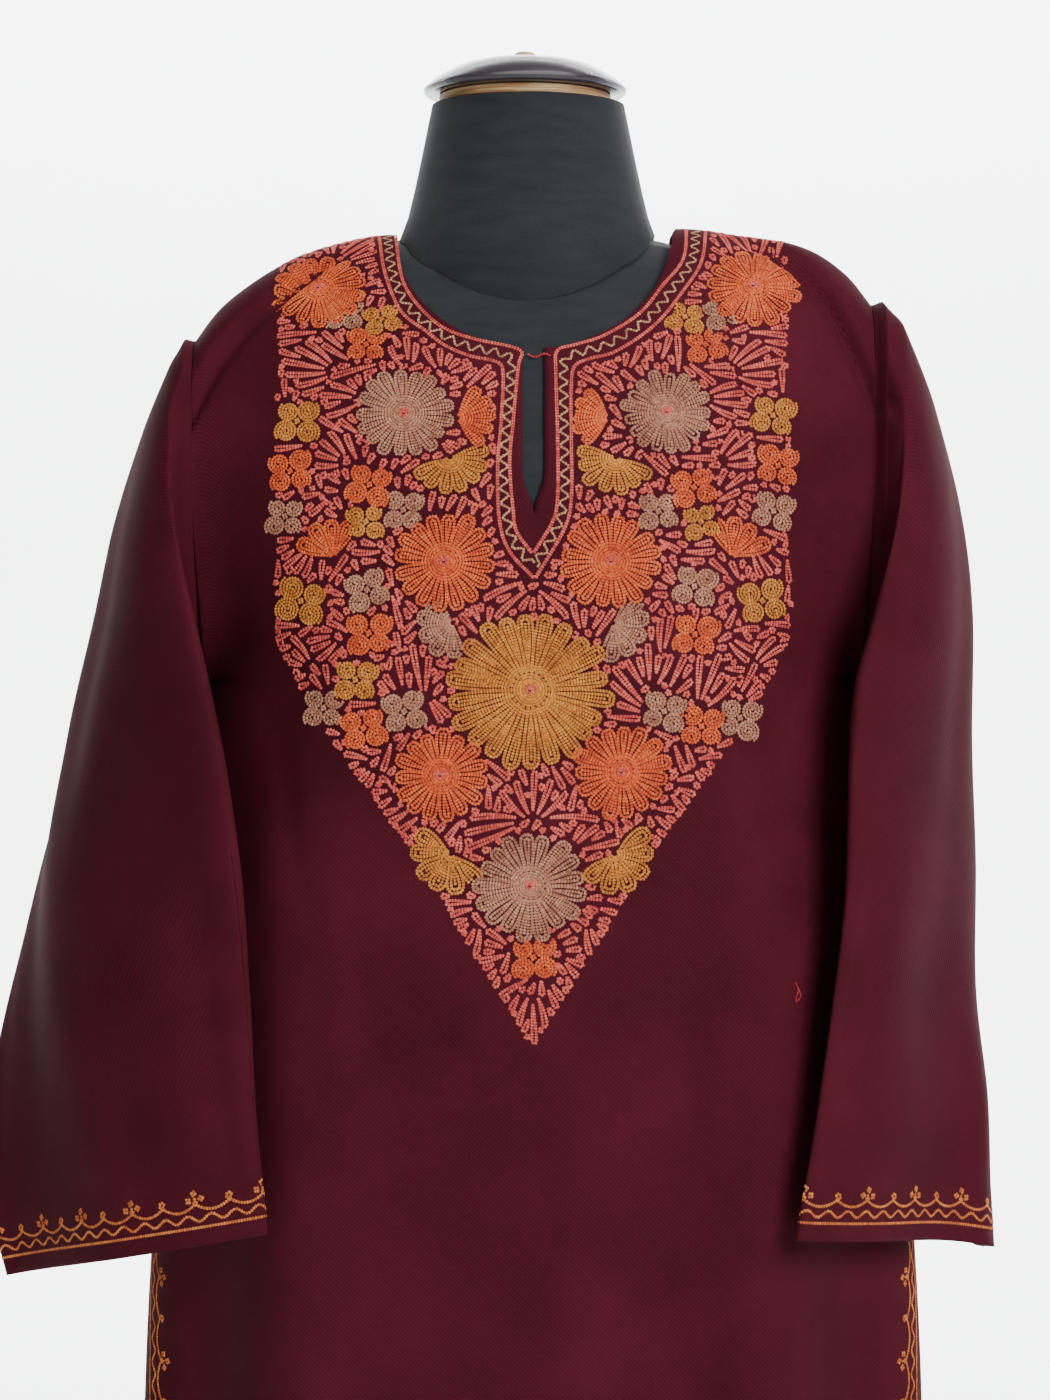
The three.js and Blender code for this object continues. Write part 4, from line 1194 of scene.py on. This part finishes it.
# A red thread loop ties the corners of the neck, and a small red mark lies low on the right
redLines = (
    ([(1, 1302), (6, 1300), (11, 1302), (15, 1301)], 1.5),
    ([(158, 922), (161, 914), (158, 911), (160, 918)], 1.3),
)
for line, width in redLines:
    points, tangents = alongPath(smoothLine(onChart(front, line)), stitch["pitch"])
    threadRows["crimson"].append((front, points, tangents, width, 0.2))

threads = {name: threadMaterial("thread_" + name, tones) for name, tones in threadTones.items()}
for name, rows in threadRows.items():
    if rows:
        layThreads("yoke_" + name, rows, threads[name])

# Border of the cuffs and side slits, in millimetres up from the cloth's edge
border = {
    "hem": 11, "wave": 16.5, "scallop": 22, "waveLength": 14.5, "swing": 1.9,
    "archRise": 5, "width": 1.9, "coil": 3.4, "bud": 4.6, "slitInset": 9,
}


def borderRows(chart, first, last, repeats, inset=0):
    # Straight line, wave, and scallops with a bud at each joint and a coil between
    b = border
    step = (last - first) / repeats
    paths = []
    along = np.arange(first, last, 1.2)
    paths.append(np.stack([along, 0 * along + b["hem"]], axis=-1))
    waves = max(int(round((last - first) / b["waveLength"])), 1)
    turn = 2 * np.pi * (along - first) / (last - first) * waves
    paths.append(np.stack([along, b["wave"] + b["swing"] * np.sin(turn)], axis=-1))
    for k in range(repeats):
        for part in (0, 0.5):
            t = np.linspace(0, 1, 16)
            left = first + step * (k + part)
            arch = b["scallop"] - 1 + b["archRise"] * (4 * (t - 0.5) ** 2 * 0.8)
            paths.append(np.stack([left + t * step / 2, arch], axis=-1))
        joint = np.array([first + step * k, b["scallop"] + b["archRise"] * 0.7])
        for angle, own in ((math.radians(90), 1.25), (math.radians(28), 1.0), (math.radians(152), 1.0)):
            tip = joint + b["bud"] * own * headingOf(angle)
            paths.append(coilPath(tip, b["coil"] * 0.8, angle + math.pi))
            paths.append([joint, (joint + tip) / 2])
        middle = joint + np.array([step / 2, 0])
        paths.append(coilPath(middle + np.array([0, 1.6]), b["coil"], -math.pi / 2))
    rows = []
    for path in paths:
        points, tangents = alongPath(np.asarray(path) + np.array([0, inset]), stitch["pitch"])
        rows.append((chart, points, tangents, b["width"], 0.0))
    return rows


def sleeveSurface(sections, folds, hand):
    return lambda turn, up: sleevePoint(sections, folds, hand, 9 - up, turn)


borders = []
for sections, folds, hand, repeats in ((leftSections, leftFolds, -1, 10), (rightSections, rightFolds, 1, 9)):
    chart = makeChart(sleeveSurface(sections, folds, hand), np.linspace(0, math.tau, 181),
                      np.linspace(0, 2.0, 120), 0, hand, True)
    borders += borderRows(chart, 0, chart["alongs"][-1], repeats)
    print("cuff", round(chart["alongs"][-1]), "mm round")


def slitSurface(side, hand):
    def surface(z, inwards):
        return bodyPoint(side, z, np.zeros_like(z + inwards), hand * (1 - inwards))

    return surface


for side in (-1, 1):
    for hand in (-1, 1):
        chart = makeChart(slitSurface(side, hand), np.linspace(garment["hem"], garment["slitTop"] - 2, 161),
                          np.linspace(0, 1, 200) ** 2 * 0.4, 0, -side * hand, True)
        borders += borderRows(chart, 14, chart["alongs"][-1] - 4, 9, border["slitInset"])
layThreads("edge_borders", borders, threads["copper"])

# Machine stitches of the turned hems
hemStitch = {"pitch": 3.2, "width": 0.8, "inset": 9.5}
stitches = []
for side, facing in ((-1, 1), (1, -1)):
    chart = makeChart(panelSurface(side), np.arange(-226, 237, 3), np.linspace(-0.795, -0.75, 40), -0.795,
                      facing, False)
    points, tangents = alongPath([(-218, hemStitch["inset"]), (228, hemStitch["inset"])], hemStitch["pitch"])
    stitches.append((chart, points, tangents, hemStitch["width"], 0.0))
layThreads("hem_stitches", stitches, threads["wine"])

# Dress form: jersey over the torso and neck
jersey = {"dark": colour(26, 28, 31), "light": colour(42, 45, 49), "rib": 1.3 * mm, "bump": 0.05 * mm}


def jerseyMaterial(name, settings):
    material, tree, shader = newMaterial(name, {
        "Roughness": 0.82, "Sheen Weight": 0.12, "Sheen Roughness": 0.5, "Specular IOR Level": 0.16,
    })
    place = addNode(tree, "ShaderNodeTexCoord").outputs["Object"]
    ribs = addNode(tree, "ShaderNodeTexWave", {
        "Scale": math.pi / 10 / settings["rib"], "Distortion": 1.6, "Detail": 3.0, "Detail Scale": 0.6,
    }, wave_type="BANDS", bands_direction="Z")
    tree.links.new(place, ribs.inputs["Vector"])
    stretch = addNode(tree, "ShaderNodeMapping", {"Scale": (0.6, 0.6, 2.4)})
    tree.links.new(place, stretch.inputs["Vector"])
    grain = grainOf(tree, place, {"Scale": 1400, "Detail": 3.0})
    streaks = grainOf(tree, stretch.outputs["Vector"], {"Scale": 60, "Detail": 4.0})
    paint(tree, shader, mixOf(tree, 0.5, streaks, grain), [(0.3, settings["dark"]), (0.8, settings["light"])])
    joinBump(tree, shader, [(ribs.outputs["Fac"], 0.7), (grain, 0.6)], settings["bump"])
    return material


jerseyCloth = jerseyMaterial("black_jersey", jersey)


def smoothCopy(node, name, material, angle, wide=1.0, aside=0.0):
    # The node's own shape with its doubles merged and its shading smoothed up to an angle
    bm = bmesh.new()
    bm.from_mesh(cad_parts[node].data)
    for vert in bm.verts:
        vert.co.x = vert.co.x * wide + aside
    bmesh.ops.remove_doubles(bm, verts=bm.verts, dist=0.01 * mm)
    for edge in bm.edges:
        edge.smooth = edge.is_manifold and edge.calc_face_angle(0) < math.radians(angle)
    piece = objectFrom(bm, name)
    finishPiece(piece, material)
    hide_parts(node)


smoothCopy("form_torso", "torso_jersey", jerseyCloth, 50)
smoothCopy("form_neck", "neck_jersey", jerseyCloth, 50, 1.045, 2 * mm)


def turnedPiece(name, profile, material, node, steps=96):
    # A profile of radius and height (metres) spun round the form's axis
    bm = bmesh.new()
    verts = [bm.verts.new((r, 0, z)) for r, z in profile]
    edges = [bm.edges.new(pair) for pair in zip(verts, verts[1:])]
    bmesh.ops.spin(bm, geom=verts + edges, cent=(0, 0, 0), axis=(0, 0, 1), angle=math.tau,
                   steps=steps, use_merge=True)
    bmesh.ops.remove_doubles(bm, verts=bm.verts, dist=0.01 * mm)
    bmesh.ops.recalc_face_normals(bm, faces=bm.faces)
    for edge in bm.edges:
        edge.smooth = edge.calc_face_angle(0) < math.radians(38)
    piece = objectFrom(bm, name)
    finishPiece(piece, material)
    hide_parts(node)


def simpleMaterial(name, base, darker, scale, settings, bump=0.0):
    material, tree, shader = newMaterial(name, settings)
    place = addNode(tree, "ShaderNodeTexCoord").outputs["Object"]
    grain = grainOf(tree, place, {"Scale": scale, "Detail": 5.0, "Roughness": 0.6})
    paint(tree, shader, grain, [(0.3, darker), (0.7, base)])
    if bump:
        joinBump(tree, shader, [(grain, 1.0)], bump)
    return material


def woodMaterial(name, base, darker, stretch, scale):
    material, tree, shader = newMaterial(name, {"Roughness": 0.55, "Specular IOR Level": 0.4})
    place = addNode(tree, "ShaderNodeTexCoord")
    along = addNode(tree, "ShaderNodeMapping", {"Scale": stretch})
    tree.links.new(place.outputs["Object"], along.inputs["Vector"])
    grain = grainOf(tree, along.outputs["Vector"], {"Scale": scale, "Detail": 6.0, "Distortion": 0.6})
    paint(tree, shader, grain, [(0.35, darker), (0.65, base)])
    joinBump(tree, shader, [(grain, 1.0)], 0.1 * mm)
    return material


capGloss = simpleMaterial("dark_gloss_cap", colour(52, 46, 50), colour(38, 34, 38), 30, {
    "Roughness": 0.24, "Specular IOR Level": 0.45,
})
plywoodEdge = woodMaterial("plywood_edge", colour(190, 156, 112), colour(120, 84, 52), (1, 1, 30), 30)
knobWood = woodMaterial("turned_knob_wood", colour(214, 184, 140), colour(176, 140, 96), (1, 1, 0.3), 160)
standPaint = simpleMaterial("painted_steel", colour(44, 45, 48), colour(34, 35, 38), 500, {
    "Roughness": 0.42, "Metallic": 0.2,
}, 0.03 * mm)

capBottom, capTop = (corner.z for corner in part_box("neck_cap"))
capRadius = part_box("neck_cap")[1].x
capProfile = [
    (0, 0), (0.9375, 0), (0.975, 0.02), (0.992, 0.07), (1, 0.14), (0.99, 0.2), (0.965, 0.27), (0.9, 0.43),
    (0.83, 0.57), (0.76, 0.69), (0.68, 0.81), (0.6, 0.895), (0.52, 0.955), (0.46, 0.985), (0.42, 1), (0, 1),
]
turnedPiece("gloss_cap", [(r * capRadius, capBottom + z * (capTop - capBottom)) for r, z in capProfile],
            capGloss, "neck_cap")

plyLow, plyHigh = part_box("neck_plywood")
turnedPiece("plywood_plate", [
    (0, plyLow.z), (plyHigh.x - 0.6 * mm, plyLow.z), (plyHigh.x, plyLow.z + 0.6 * mm),
    (plyHigh.x, plyHigh.z - 0.6 * mm), (plyHigh.x - 0.6 * mm, plyHigh.z), (0, plyHigh.z),
], plywoodEdge, "neck_plywood")

knobLow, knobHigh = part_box("cap_knob")
turnedPiece("wood_knob", [
    (0, knobLow.z), (knobHigh.x - 0.4 * mm, knobLow.z), (knobHigh.x, knobLow.z + 1 * mm),
    (knobHigh.x, knobHigh.z - 2 * mm), (knobHigh.x - 0.6 * mm, knobHigh.z - 0.9 * mm),
    (knobHigh.x - 1.8 * mm, knobHigh.z - 0.2 * mm), (0, knobHigh.z),
], knobWood, "cap_knob", 48)

for nodeName in ("stand_base", "stand_pole", "stand_hub", "form_socket"):
    smoothCopy(nodeName, nodeName.replace("stand_", "painted_").replace("form_", "painted_"),
               standPaint, 40)
print("dress form and stand finished")

# Floor and wall in one sheet
studio = {"wallAt": 6.0, "bend": 1.6, "halfWidth": 8.0, "front": -6.0, "height": 7.0}


def makeStage():
    bm = bmesh.new()
    line = [(studio["front"], 0.0)]
    for k in range(13):
        turn = math.pi / 2 * k / 12
        line.append((studio["wallAt"] - studio["bend"] + studio["bend"] * math.sin(turn),
                     studio["bend"] * (1 - math.cos(turn))))
    line.append((studio["wallAt"], studio["height"]))
    verts = [bm.verts.new((-studio["halfWidth"], y, z)) for y, z in line]
    edges = [bm.edges.new(pair) for pair in zip(verts, verts[1:])]
    made = bmesh.ops.extrude_edge_only(bm, edges=edges)["geom"]
    moved = [item for item in made if isinstance(item, bmesh.types.BMVert)]
    bmesh.ops.translate(bm, verts=moved, vec=(2 * studio["halfWidth"], 0, 0))
    bmesh.ops.recalc_face_normals(bm, faces=bm.faces)
    floor = objectFrom(bm, "floor")
    floor.data.polygons.foreach_set("use_smooth", [True] * len(floor.data.polygons))
    paleFloor = simpleMaterial("pale_floor", colour(243, 245, 246), colour(240, 242, 243), 3,
                               {"Roughness": 0.9})
    floor.data.materials.append(paleFloor)


makeStage()


def areaLight(name, place, target, size, power):
    data = bpy.data.lights.new(name, "AREA")
    data.shape = "RECTANGLE"
    data.size, data.size_y = size
    data.energy = power
    light = bpy.data.objects.new(name, data)
    light.location = place
    light.rotation_euler = (Vector(target) - Vector(place)).to_track_quat("-Z", "Y").to_euler()
    bpy.context.collection.objects.link(light)


areaLight("key_softbox", (1.35, -2.5, 2.1), (0, 0, 1.15), (1.2, 1.3), 132)
areaLight("fill_softbox", (-1.2, -2.8, 2.0), (0, 0, 1.1), (1.2, 1.4), 5)
areaLight("top_softbox", (0.2, -0.3, 3.0), (0, 0, 1.2), (1.6, 1.2), 22)
areaLight("wall_light", (0.0, 3.4, 4.8), (0, 6.0, 1.8), (9.0, 1.4), 1900)
world = bpy.data.worlds.new("studio_air")
world.use_nodes = True
background = world.node_tree.nodes["Background"]
background.inputs["Color"].default_value = colour(226, 232, 238)
background.inputs["Strength"].default_value = 0.24
bpy.context.scene.world = world
